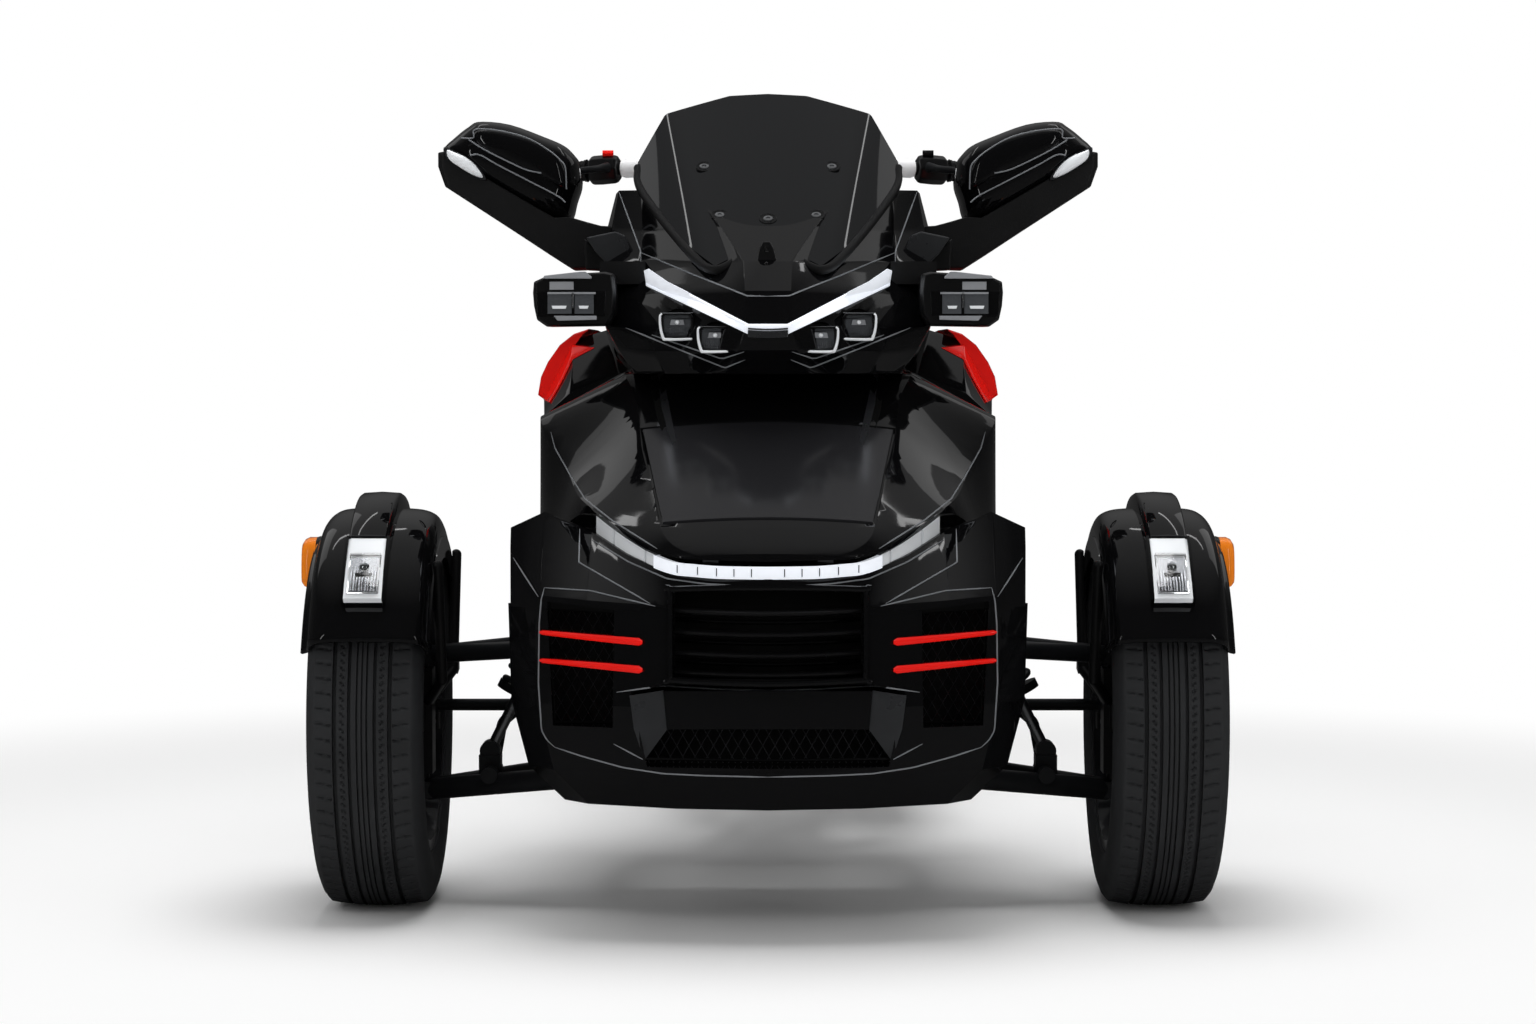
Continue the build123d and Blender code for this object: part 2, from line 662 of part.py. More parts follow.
def make_nose(frame):
    """Hood with its luggage lid, the lid's hinge and the tub under it."""
    solid = smooth([nose_face(row) for row in NOSE_SECTIONS])
    under_skin = smooth([nose_face(row, LID_T / 2) for row in NOSE_SECTIONS])
    lower = smooth([nose_face(row, LID_T) for row in NOSE_SECTIONS])
    seat_level = smooth([nose_face(row, LID_T + SEAT_GAP) for row in NOSE_SECTIONS])
    lid = (solid & lid_prism(0, 500, 900)) - lower
    rebate = (lid_prism(PANEL_GAP, 400, 900) & solid) - seat_level
    tub_outer = block(-TUB_HALF, TUB_HALF, TUB_FRONT, TUB_REAR, TUB_FLOOR, 900)
    tub_inner = block(-TUB_HALF + 4, TUB_HALF - 4, TUB_FRONT + 4, TUB_REAR - 4, TUB_FLOOR + 4, 900)
    rim_cut = block(-300, 300, -400, 0, 400, 560) + seat_level
    hood = solid - rebate - tub_outer - frame
    tub = ((tub_outer - tub_inner) & rim_cut) - frame

    pin = (at(HINGE_AT), HINGE_Z)
    room = block(HINGE_X - 11, HINGE_X + 11, HINGE_AT - 9, HINGE_AT + 56, HINGE_Z - 34, HINGE_Z + 70)
    low_room = block(HINGE_X - 11, HINGE_X + 11, HINGE_AT - 9, HINGE_AT + 56, HINGE_Z - 34, HINGE_Z)
    shaft = rod((HINGE_X - 14, *pin), (HINGE_X + 14, *pin), HINGE_R)
    arm = hinge_arm(HINGE_X, HINGE_R + 3, HINGE_R + RUNNING_FIT) - (solid - lower)
    arm = max(arm.solids(), key=lambda piece: piece.volume)
    hinge_room = low_room.fuse(mirror(low_room, about=Plane.YZ))
    for piece in both_sides(room & under_skin):
        hood = hood - piece
    hood = hood.fuse(*both_sides(shaft))
    lid = lid.fuse(*both_sides(arm))
    save("trunk_lid", lid)
    save("nose_body", hood)
    save("trunk_tub", tub)
    return solid, hinge_room


def make_light_strip(hood):
    """The lamp strip under the hood's front edge, in its sloping plane."""
    outer = [(0, -390), (70, -388), (131, -373), (193, -306), (249, -216)]
    inner = [(235, -206), (180, -294), (122, -357), (68, -373), (0, -375)]
    band = extrude(level(480, outer + inner), amount=140, dir=(0, 0, 1))

    def slope(lift):
        z0 = STRIP_NOSE_Z - STRIP_H / 2 + SEAT_GAP + lift
        return plane_through(
            (0, -392, z0), (100, -392, z0), (0, -192, z0 + 200 * STRIP_SLOPE)
        )

    strip = split(band, bisect_by=slope(0), keep=Keep.TOP)
    strip = split(strip, bisect_by=slope(STRIP_H + 5), keep=Keep.BOTTOM) - hood
    strip = max(strip.solids(), key=lambda s: s.volume)
    save("nose_light_strip", strip)
    return strip


# z, then (half, behind) at the nose edge, the lamp corner, the side and the back
FAIRING_LEVELS = (
    (786, 60, -112, 150, -62, 196, 10, 214, 200),
    (820, 42, -148, 166, -58, 222, 34, 236, 240),
    (856, 32, -158, 186, -18, 242, 60, 252, 270),
    (906, 33, -133, 198, 52, 250, 98, 262, 300),
    (950, 35, -72, 194, 112, 246, 146, 262, 312),
    (1004, 70, 20, 192, 172, 240, 196, 254, 322),
    (1068, 120, 130, 196, 226, 230, 236, 238, 330),
)
FAIRING_BACK = 330.0


def make_upper_fairing(hood):
    """Headlight fairing, its lamps, the windscreen, the dash, mirrors and side lamps."""
    levels = []
    for z, x0, b0, x1, b1, x2, b2, x3, b3 in FAIRING_LEVELS:
        levels.append(level(z, [(0, b0 - 2), (x0, b0), (x1, b1), (x2, b2), (x3, b3), (0, b3)]))
    body = ruled(levels) - hood
    well = block(-190, 190, 210, 400, 880, 1100)
    body = body - well

    arcs = []
    for z, crest in ((930, -77), (1240, 324)):
        for lead in (0, 4):
            y = at(crest + lead)
            a, m, b = (-230, y + 100, z), (0, y, z), (230, y + 100, z)
            edges = ThreePointArc(a, m, b).edges()
            edges += Polyline(b, (230, at(500), z), (-230, at(500), z), a).edges()
            arcs.append(Face(Wire(edges)))
    sheet = ruled([arcs[0], arcs[2]]) - ruled([arcs[1], arcs[3]])
    right = [(0, 985), (30, 968), (78, 944), (120, 976), (192, 1068)]
    right += [(202, 1112), (160, 1190), (60, 1218), (0, 1221)]
    outline = extrude(across(-300, right), amount=900, dir=(0, 1, 0))
    screen = sheet & outline
    body = body - screen

    bar_right = [(28, 843), (182, 917), (184, 941), (28, 858)]
    bars = []
    for sign in (1, -1):
        face = face_of([(sign * x, at(-300), z) for x, z in bar_right])
        bars.append(extrude(face, amount=500, dir=(0, 1, 0)))
    centre_bar = block(-28, 28, -300, 100, 843, 858)
    front_skin = (Pos(0, -5, 0) * body) - body
    light_bar = [s for b in bars + [centre_bar] for s in (front_skin & b).solids() if s.volume > 200]
    light_bar = light_bar[0].fuse(*light_bar[1:])

    lamps = []
    for x, z, front in ((132, 857, -84), (76, 837, -126)):
        lamps += both_sides(rod((x, at(front), z), (x, at(front + 60), z), 24))
    lamps = [lamp - light_bar for lamp in lamps]
    for lamp in lamps:
        body = body - lamp

    dash = block(-150, 150, 330, 352, 900, 1040) + block(-120, 120, 250, 330, 930, 1010)
    dash = dash + block(-190, 190, 296, 330, 930, 960)
    dash = dash - body

    arm_outline = ((236, 1004), (256, 948), (300, 948), (392, 1006), (486, 1072), (320, 1072))
    arm = extrude(
        face_of([(x, at(236), z) for x, z in arm_outline]), amount=50, dir=(0, 1, 0)
    )
    housing_outline = (
        (513, 1110), (453, 1179), (358, 1161), (297, 1116), (306, 1054), (400, 1040), (500, 1080),
    )
    cx = sum(x for x, _ in housing_outline) / len(housing_outline)
    cz = sum(z for _, z in housing_outline) / len(housing_outline)

    def ring(y, scale):
        spots = [(cx + (x - cx) * scale, y, cz + (z - cz) * scale) for x, z in housing_outline]
        return face_of(spots)

    rings = []
    for behind, scale in ((232, 0.55), (256, 0.86), (300, 1.0), (344, 0.98)):
        rings.append(ring(at(behind), scale))
    housing = ruled(rings) + arm
    housing = housing - body
    glass = extrude(ring(at(344) + SEAT_GAP, 0.9), amount=3, dir=(0, 1, 0))

    pod_rows = ((-24, 262, 340, 872, 930), (20, 240, 350, 858, 940), (120, 234, 340, 866, 936))
    pod_faces = []
    for behind, x0, x1, z0, z1 in pod_rows:
        corners = [(x0, z0), (x1 - 8, z0), (x1, z1 - 8), (x1 - 14, z1), (x0, z1)]
        pod_faces.append(face_of([(x, at(behind), z) for x, z in corners]))
    pod = ruled(pod_faces) - body
    save("upper_fairing", body)
    save("windscreen", screen)
    save("headlight_bar", light_bar)
    save("headlight_units", *lamps)
    save("dash", dash)
    save("mirrors", *both_sides(housing))
    save("mirror_glass", *both_sides(glass))
    save("side_lamps", *both_sides(pod))
    return body, pod


# behind, then (x, z) at the sill, the waist, the shoulder and the top edge, and the foot's z
SIDE_SECTIONS = (
    (114, 344, 566, 338, 722, 300, 756, 226, 786),
    (250, 344, 566, 347, 745, 299, 838, 250, 853),
    (420, 330, 560, 334, 730, 286, 815, 236, 838),
    (600, 296, 552, 290, 690, 232, 782, 190, 806),
    (720, 262, 560, 252, 680, 208, 742, 170, 768),
)
TANK_HALF = 128.0
SIDE_INNER = TANK_HALF + SEAT_GAP


def tank_shape(frame):
    """The tank cover between the side panels, round on top."""
    tank_rows = (
        (592, 122, 872),
        (640, TANK_HALF, 880),
        (740, 126, 852),
        (820, 112, 790),
        (846, 100, 764),
    )
    tank_faces = []
    for behind, half, top in tank_rows:
        y = at(behind)
        right, left = (half, y, top - 60), (-half, y, top - 60)
        edges = ThreePointArc(right, (0, y, top), left).edges()
        edges += Polyline(left, (-half, y, 658), (half, y, 658), right).edges()
        tank_faces.append(Face(Wire(edges)))
    return smooth(tank_faces) - frame


def make_side_panels(hood, fairing, frame):
    """Side panels behind the hood with their coloured accents, and the tank cover between them."""
    tank = tank_shape(frame)
    save("tank_cover", tank)
    faces, skin = [], []
    for behind, x0, z0, x1, z1, x2, z2, x3, z3 in SIDE_SECTIONS:
        row = [(SIDE_INNER, z0), (x0, z0), (x1, z1), (x2, z2), (x3, z3), (SIDE_INNER, z3)]
        faces.append(face_of([(x, at(behind), z) for x, z in row]))
        wide = [(SIDE_INNER, z0), (x0 + 3, z0), (x1 + 3, z1), (x2 + 3, z2 + 3)]
        wide += [(x3, z3 + 3), (SIDE_INNER, z3 + 3)]
        skin.append(face_of([(x, at(behind), z) for x, z in wide]))
    panel = ruled(faces) - fairing
    zone = ((160, 742), (230, 745), (420, 800), (400, 826), (300, 842), (210, 826))
    accent_zone = extrude(face_of([(500, at(b), z) for b, z in zone]), amount=260, dir=(-1, 0, 0))
    accent = ((ruled(skin) - ruled(faces)) & accent_zone) - fairing
    accent = max(accent.solids(), key=lambda s: s.volume)
    save("side_panels", *both_sides(panel - frame - tank))
    save("side_accents", *both_sides(accent))


def make_seat_and_tail(frame):
    """Two-level seat, the tail under it, its lamp, the grab rails and the rear mudguard."""
    side = [
        (850, 636), (1440, 714), (1520, 722), (1530, 800), (1490, 824), (1200, 812),
        (1135, 752), (1000, 716), (880, 724), (850, 752),
    ]
    profile = face_of([(-150, at(b), z) for b, z in side])
    seat = extrude(profile, amount=300, dir=(1, 0, 0)) - frame
    rows = (
        (1140, 182, 650, 734),
        (1300, 178, 676, 800),
        (1500, 160, 712, 832),
        (1700, 96, 770, 842),
    )
    faces = []
    for behind, half, low, top in rows:
        outline = [(0, low), (half - 34, low), (half, low + 40), (half - 16, top), (0, top)]
        faces.append(across(behind, outline))
    seat_room = block(-150 - SEAT_GAP, 150 + SEAT_GAP, 1100, 1530 + SEAT_GAP, 600, 900)
    tail = ruled(faces) - seat_room - frame
    tail = max(tail.solids(), key=lambda s: s.volume)
    lamp = block(-80, 80, 1700 + SEAT_GAP, 1712, 786, 826)
    save("seat", seat)
    save("tail_body", tail)
    save("tail_lamp", lamp)
    return tail


def make_drive(frame):
    """Engine, exhaust, swing arm, rear damper and the drive belt."""
    engine = block(-96, 96, 390, 800, 246, 600)
    case = block(40, 96, 780, SPROCKET_AT + 30, 290, 372)
    belt_x = REAR_HUB_W / 2 + SEAT_GAP
    y0, y1 = at(SPROCKET_AT), REAR_AXLE_Y
    shaft = rod((90, y0, SWING_PIVOT_Z), (belt_x + PULLEY_W, y0, SWING_PIVOT_Z), 14)
    belt_end = belt_x + PULLEY_W
    sprocket_r = SPROCKET_R - SEAT_GAP
    sprocket = rod((belt_x, y0, SWING_PIVOT_Z), (belt_end, y0, SWING_PIVOT_Z), sprocket_r)
    engine = engine.fuse(case, shaft, sprocket) - frame
    save("engine", engine)

    def belt_solid(grow, x0, x1):
        front = rod((x0, y0, SWING_PIVOT_Z), (x1, y0, SWING_PIVOT_Z), SPROCKET_R + grow)
        rear = rod((x0, y1, REAR_TYRE_R), (x1, y1, REAR_TYRE_R), PULLEY_R + grow)
        c0, c1 = (y0, SWING_PIVOT_Z), (y1, REAR_TYRE_R)
        run, rise = c1[0] - c0[0], c1[1] - c0[1]
        dist = math.hypot(run, rise)
        lean = math.asin((PULLEY_R - SPROCKET_R) / dist)
        base = math.atan2(rise, run)
        pts = []
        for sign in (1, -1):
            ang = base + sign * (math.pi / 2 + lean)
            n = (math.cos(ang), math.sin(ang))
            small, large = SPROCKET_R + grow, PULLEY_R + grow
            front_spot = (c0[0] + n[0] * small, c0[1] + n[1] * small)
            rear_spot = (c1[0] + n[0] * large, c1[1] + n[1] * large)
            pts.append((front_spot, rear_spot))
        quad = [pts[0][0], pts[0][1], pts[1][1], pts[1][0]]
        flat = face_of([(x0, y, z) for y, z in quad])
        return front.fuse(rear, extrude(flat, amount=x1 - x0, dir=(1, 0, 0)))

    belt = belt_solid(BELT_T + 0.5, belt_x + 2, belt_x + PULLEY_W - 2) - belt_solid(0.5, 0, 300)
    save("drive_belt", belt)

    pivot, axle = (at(SWING_PIVOT), SWING_PIVOT_Z), (REAR_AXLE_Y, REAR_TYRE_R)
    tube = rod((-SWING_OUT, *pivot), (SWING_OUT, *pivot), SWING_TUBE_R)
    parts = [tube]
    for side in (-1, 1):
        ends = []
        for y, z, tall in ((pivot[0], pivot[1], 26), (axle[0] + 40, axle[1], 20)):
            corners = ((SWING_IN, -tall), (SWING_IN, tall), (SWING_OUT, tall), (SWING_OUT, -tall))
            ends.append(face_of([(side * x, y, z + rise) for x, rise in corners]))
        parts.append(ruled(ends))
        boss = 122 if side < 0 else 145
        parts.append(rod((side * boss, *axle), (side * SWING_IN, *axle), REAR_AXLE_R + 8))
    parts.append(rod((-SWING_IN, at(1180), 322), (SWING_IN, at(1180), 322), 18))
    parts.append(block(-24, 24, 1130, 1184, 320, 352))
    parts.append(rod((-SWING_OUT - 8, *axle), (SWING_OUT + 8, *axle), REAR_AXLE_R))
    arm = parts[0].fuse(*parts[1:])
    save("swing_arm", arm - frame)

    foot, head = Vector(0, at(1150), 372), Vector(0, at(892), 620)
    along = (head - foot).normalized()
    damper = rod(foot - along * 34, foot + along * 150, 10) + rod(foot + along * 120, head, 24)
    for k in range(7):
        damper = damper + rod(foot + along * (110 + 22 * k), foot + along * (120 + 22 * k), 36)
    damper = max((damper - arm - frame).solids(), key=lambda s: s.volume)
    save("rear_damper", damper)

    pipe_run = [(90, at(700), 300), (180, at(700), 270), (226, at(800), 262), (226, at(900), 262)]
    pipe = bent_rod(pipe_run, [30, 40], 20)
    muffler = rod((226, at(880), 262), (226, at(1330), 300), 54)
    save("exhaust", (pipe + muffler) - engine - frame - arm)

    pegs = []
    peg = rod((150, at(600), 226), (230, at(600), 300), 12)
    peg += rod((220, at(600), 300), (380, at(600), 300), 15)
    save("foot_pegs", *both_sides(peg - frame))

    outer = REAR_TYRE_R + GUARD_GAP
    walls = [(98, outer - 4), (112.5, outer - 10), (114, outer - 30)]
    walls += [(118, outer - 30), (116, outer - 6), (100, outer)]
    profile = walls + [(-x, r) for x, r in reversed(walls)]
    guard = ring_about_x(profile, (0, REAR_AXLE_Y, REAR_TYRE_R))
    front_cut = plane_through((0, 1600, REAR_TYRE_R), (100, 1600, REAR_TYRE_R), (0, 1430, 560))
    guard = split(guard, bisect_by=front_cut, keep=Keep.TOP)
    rear_cut = Plane(origin=(0, REAR_AXLE_Y, 400), z_dir=(0, 0, 1))
    guard = split(guard, bisect_by=rear_cut, keep=Keep.TOP)
    guard = max(guard.solids(), key=lambda s: s.volume)
    stays = []
    for side in (-1, 1):
        stays.append(rod((side * 162, at(1640), 318), (side * 122, at(1800), 532), 8))
        stays.append(rod((side * 106, at(1800), 532), (side * 130, at(1800), 532), 8))
        stays.append(rod((side * 162, at(1625), 300), (side * 162, at(1640), 330), 8))
    rear_end = WHEELBASE + REAR_OVERHANG
    carrier = block(-26, 26, 1899, rear_end - 2, 408, 430).fuse(
        block(-PLATE_HALF, PLATE_HALF, rear_end - PLATE_T, rear_end, 400, 540)
    )
    for side in (-1, 1):
        hole_x = side * PLATE_HOLES / 2
        hole_at = (hole_x, at(rear_end - 20), PLATE_HOLE_Z)
        hole_to = (hole_x, at(rear_end + 20), PLATE_HOLE_Z)
        carrier = carrier - rod(hole_at, hole_to, PLATE_HOLE_R)
    rear_centre = (0, REAR_AXLE_Y, REAR_TYRE_R)
    tread = disc_about_x(rear_centre, -111, 111, REAR_TYRE_R + MOVING_GAP)
    hugger = guard + carrier
    for stay in stays:
        hugger = hugger + (stay - tread)
    save("rear_mudguard", hugger - arm)


def make_under_body(frame, roll_bar):
    """Belly pan under the front subframe and the steering rack's housing."""
    low = LOWER_PIVOT_Z - CROSS_R - SEAT_GAP
    pan = block(-PAN_HALF, PAN_HALF, -170, 202, low - PAN_T, low)
    save("belly_pan", pan)
    tie = (at(STEER_ARM), TIE_ROD_Z)
    housing = rod((-168, *tie), (168, *tie), 20)
    for side in (-1, 1):
        x0 = side * (PIVOT_X - 12 - SEAT_GAP)
        top = ROLL_BAR_Z - ROLL_BAR_R - SEAT_GAP
        housing = housing + block(min(x0, x0 - side * 12), max(x0, x0 - side * 12), 34, 196, 262, top)
    housing = housing - rod((-300, *tie), (300, *tie), TIE_ROD_R + RUNNING_FIT)
    save("rack_housing", housing - frame - roll_bar - mirror(roll_bar, about=Plane.YZ))
    bar = rod((-KINGPIN_X, *tie), (KINGPIN_X, *tie), TIE_ROD_R)
    for side in (-1, 1):
        x = side * KINGPIN_X
        bar = bar + rod((x, tie[0], ARM_Z + 12 + SEAT_GAP), (x, tie[0], TIE_ROD_Z + 10), 14)
    save("tie_rods", bar)


def make_handlebar():
    """Steering stem, bar, grips, switch boxes and levers, one steered body."""
    foot, top = Vector(*STEER_FOOT), Vector(*STEER_HEAD)
    axis = (top - foot).normalized()
    stem = rod(foot + (top - foot) * 0.12, top + axis * 178, STEM_R)
    clamp_at = top + axis * 165
    clamp = block(-80, 80, 556, 640, 1050, 1078)
    half_bar = [(96, at(620), 1088), (236, at(650), BAR_Z + 4), (430, at(700), BAR_Z - 4)]
    other_half = [(-x, y, z) for x, y, z in reversed(half_bar)]
    bar = bent_rod(other_half + half_bar, [50, 60, 60, 50], BAR_R)
    collar = rod(top + axis * SEAT_GAP, top + axis * 14, 32)
    head_clamp = block(-60, 60, 600, 640, 1070, 1100)
    grips, boxes, levers = [], [], []
    a, b = Vector(236, at(650), BAR_Z + 4), Vector(430, at(700), BAR_Z - 4)
    run = (b - a).normalized()
    grip = rod(a + run * 66, b + run * 6, 17) - bar
    box = rod(a + run * 12, a + run * 60, 25) - bar
    lever_root = a + run * 30 + Vector(0, -24, 0)
    lever_knee = a + run * 70 + Vector(6, -62, 0)
    lever_tip = b + Vector(-10, -60, -6)
    lever = bent_rod([tuple(lever_root), tuple(lever_knee), tuple(lever_tip)], [20], 6)
    bar_set = (bar + head_clamp + clamp + stem + collar)
    save("handlebar", bar_set)
    save("grips", *both_sides(grip))
    save("switch_boxes", *both_sides(box))
    save("levers", *both_sides(lever - box))


def main():
    """Builds and writes every sub-part."""
    frame = make_frame()
    save_frame(frame)
    make_front_wheels()
    make_rear_wheel()
    guard = make_mudguards()
    make_knuckles(guard)
    roll_bar = make_front_suspension(frame)
    hood, hinge_room = make_nose(frame)
    strip = make_light_strip(hood)
    make_fascia(strip, frame, hinge_room)
    fairing, pod = make_upper_fairing(hood)
    make_side_panels(hood, fairing, frame)
    make_seat_and_tail(frame)
    make_drive(frame)
    make_under_body(frame, roll_bar)
    make_handlebar()


main()
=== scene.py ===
"""Motor trike with two steered front wheels, dressed for a plain studio photograph.

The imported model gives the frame. Sizes below are in millimetres, and lengths along the
machine are counted behind the front axle, as in the CAD; place() turns both into metres.
"""

import json
import logging
import math
from dataclasses import dataclass
from enum import Enum

import bmesh
import bpy
import numpy as np
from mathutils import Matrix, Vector
from mathutils.bvhtree import BVHTree

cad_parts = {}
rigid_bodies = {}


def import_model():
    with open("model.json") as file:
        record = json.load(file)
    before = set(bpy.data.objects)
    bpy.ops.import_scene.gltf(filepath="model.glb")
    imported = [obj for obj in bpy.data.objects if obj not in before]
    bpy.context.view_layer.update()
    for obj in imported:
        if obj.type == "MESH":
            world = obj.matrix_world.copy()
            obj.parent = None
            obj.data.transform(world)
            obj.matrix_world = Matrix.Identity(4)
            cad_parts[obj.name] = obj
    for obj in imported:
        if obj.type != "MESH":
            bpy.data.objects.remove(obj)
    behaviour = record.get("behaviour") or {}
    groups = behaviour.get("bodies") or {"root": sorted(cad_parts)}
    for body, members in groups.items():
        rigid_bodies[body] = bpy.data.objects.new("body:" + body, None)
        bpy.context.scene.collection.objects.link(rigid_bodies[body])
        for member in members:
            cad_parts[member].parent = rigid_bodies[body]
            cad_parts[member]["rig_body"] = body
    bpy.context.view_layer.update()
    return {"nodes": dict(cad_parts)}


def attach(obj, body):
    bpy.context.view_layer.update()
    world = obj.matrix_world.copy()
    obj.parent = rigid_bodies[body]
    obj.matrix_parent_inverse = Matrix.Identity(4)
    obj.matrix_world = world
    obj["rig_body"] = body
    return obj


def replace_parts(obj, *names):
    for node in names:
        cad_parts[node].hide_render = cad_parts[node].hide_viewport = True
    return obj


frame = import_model()
log = logging.getLogger("trike")

MM = 0.001
AXLE_Y = -781.0
TRACK_HALF = 572.0
TYRE_R = 281.0
REAR_AXLE = 1600.0
REAR_TYRE_R = 303.0

# The photograph's camera: millimetres ahead of the front axle and up, and its image in pixels
CAMERA_AHEAD = 5300.0
CAMERA_UP = 800.0
FOCAL_PX = 3581.0
IMAGE_PX = 1536.0
MIDDLE_PX = 768.0
HORIZON_PX = 364.5

Object = bpy.types.Object
Material = bpy.types.Material
Array = np.ndarray
Tree = bpy.types.NodeTree
Socket = bpy.types.NodeSocket
Pair = tuple[float, float]
Triple = tuple[float, float, float]


class Side(Enum):
    """The two sides of the machine, by the sign of X."""

    RIGHT = 1
    LEFT = -1

    @property
    def word(self) -> str:
        """The side's name as the CAD nodes have it."""
        return self.name.lower()


class Body(Enum):
    """The moving bodies that new pieces ride on."""

    ROOT = "root"
    BAR = "steering_bar"
    KNUCKLE_RIGHT = "knuckle_body_right"
    KNUCKLE_LEFT = "knuckle_body_left"
    WHEEL_RIGHT = "front_wheel_right"
    WHEEL_LEFT = "front_wheel_left"
    REAR = "rear_wheel"


# The body that most pieces ride on
ROOT = Body.ROOT


# Shapes as arrays


def place(points: Array) -> Array:
    """Turns millimetres, counted behind the front axle, into the frame's metres."""
    return (np.asarray(points, float) + (0.0, AXLE_Y, 0.0)) * MM


def grid_faces(rows: int, cols: int, wrap_rows: bool = False, wrap_cols: bool = False) -> Array:
    """Quads of a grid of points stored row by row.

    Args:
        rows: number of rows of points.
        cols: number of points in a row.
        wrap_rows: joins the last row to the first.
        wrap_cols: joins each row's last point to its first.

    Returns:
        One line of four point numbers per quad.
    """
    i = np.arange(rows if wrap_rows else rows - 1)[:, None]
    j = np.arange(cols if wrap_cols else cols - 1)[None, :]
    i2, j2 = (i + 1) % rows, (j + 1) % cols
    quad = [i * cols + j, i * cols + j2, i2 * cols + j2, i2 * cols + j]
    return np.stack([np.broadcast_to(q, (i.size, j.size)) for q in quad], -1).reshape(-1, 4)


def cubic(knots: tuple, u: Array) -> Array:
    """The Catmull-Rom cubic between the middle two of four knots.

    Args:
        knots: four arrays of points.
        u: how far each sample is from the second knot to the third, as a share.

    Returns:
        One point per share.
    """
    a, b, c, d = knots
    return 0.5 * (2 * b + (c - a) * u + (2 * a - 5 * b + 4 * c - d) * u**2 + (3 * b - a - 3 * c + d) * u**3)


def smooth_line(points: Array, count: int) -> Array:
    """A Catmull-Rom curve through points, sampled evenly in its parameter.

    Args:
        points: at least two points, one per line.
        count: number of samples.

    Returns:
        The samples, one per line.
    """
    p = np.asarray(points, float)
    p = np.vstack([2 * p[0] - p[1], p, 2 * p[-1] - p[-2]])
    t = np.linspace(0, len(p) - 3 - 1e-9, count)
    k = t.astype(int)
    return cubic((p[k], p[k + 1], p[k + 2], p[k + 3]), (t - k)[:, None])


def smooth_ring(points: Array, count: int) -> Array:
    """A closed Catmull-Rom curve through points, sampled evenly in its parameter.

    Args:
        points: at least three points, one per line.
        count: number of samples.

    Returns:
        The samples, one per line.
    """
    p = np.asarray(points, float)
    t = np.linspace(0, len(p), count, endpoint=False)
    k = t.astype(int)
    return cubic(tuple(p[(k + step) % len(p)] for step in (-1, 0, 1, 2)), (t - k)[:, None])


def upright(outline: Array, behind: float | Array) -> Array:
    """Points (x, z) put at a distance behind the front axle."""
    outline = np.asarray(outline, float)
    return np.column_stack([outline[:, 0], np.broadcast_to(behind, len(outline)), outline[:, 1]])


def tube_points(path: Array, radius: float | Array, sides: int, helper: Array | None = None) -> Array:
    """Rings round a path, each square to it, turned as little as possible.

    Args:
        path: the centre line, one point per line.
        radius: one radius, or one for each point of the path.
        sides: points in each ring.
        helper: a direction that the path never takes; otherwise the axis it follows least.

    Returns:
        Points of shape (path, sides, 3).
    """
    path = np.asarray(path, float)
    tangent = np.gradient(path, axis=0)
    tangent /= np.linalg.norm(tangent, axis=1)[:, None]
    if helper is None:
        helper = np.eye(3)[int(np.argmin(np.abs(tangent.mean(axis=0))))]
    across = np.cross(tangent, helper)
    across /= np.linalg.norm(across, axis=1)[:, None]
    up = np.cross(tangent, across)
    turn = np.linspace(0, 2 * np.pi, sides, endpoint=False)
    ring = np.cos(turn)[None, :, None] * across[:, None] + np.sin(turn)[None, :, None] * up[:, None]
    return path[:, None] + ring * np.broadcast_to(radius, len(path))[:, None, None]


def mirror_x(points: Array, side: Side) -> Array:
    """Points for the given side, from those of the right side."""
    return np.asarray(points, float) * (side.value, 1.0, 1.0)


# Materials


def linear(colour: str) -> tuple[float, ...]:
    """Turns an sRGB hex colour into linear light by the sRGB curve: a short line, then a power.

    Args:
        colour: a hash and six hex digits.

    Returns:
        Red, green, blue and a full alpha.
    """
    parts = np.array([int(colour[i : i + 2], 16) for i in (1, 3, 5)]) / 255
    rgb = np.where(parts <= 0.04045, parts / 12.92, ((parts + 0.055) / 1.055) ** 2.4)
    return (*rgb.tolist(), 1.0)


def add(tree: Tree, kind: str, links: dict | None = None, **settings) -> bpy.types.Node:
    """Adds a node, gives it its settings and joins its inputs.

    Args:
        tree: the material's node tree.
        kind: the node's Blender type.
        links: input name or number to another node's output socket, or a plain value.
        settings: properties of the node itself.

    Returns:
        The new node.
    """
    node = tree.nodes.new(kind)
    for key, value in settings.items():
        setattr(node, key, value)
    for key, value in (links or {}).items():
        if isinstance(value, Socket):
            tree.links.new(value, node.inputs[key])
        else:
            node.inputs[key].default_value = value
    return node


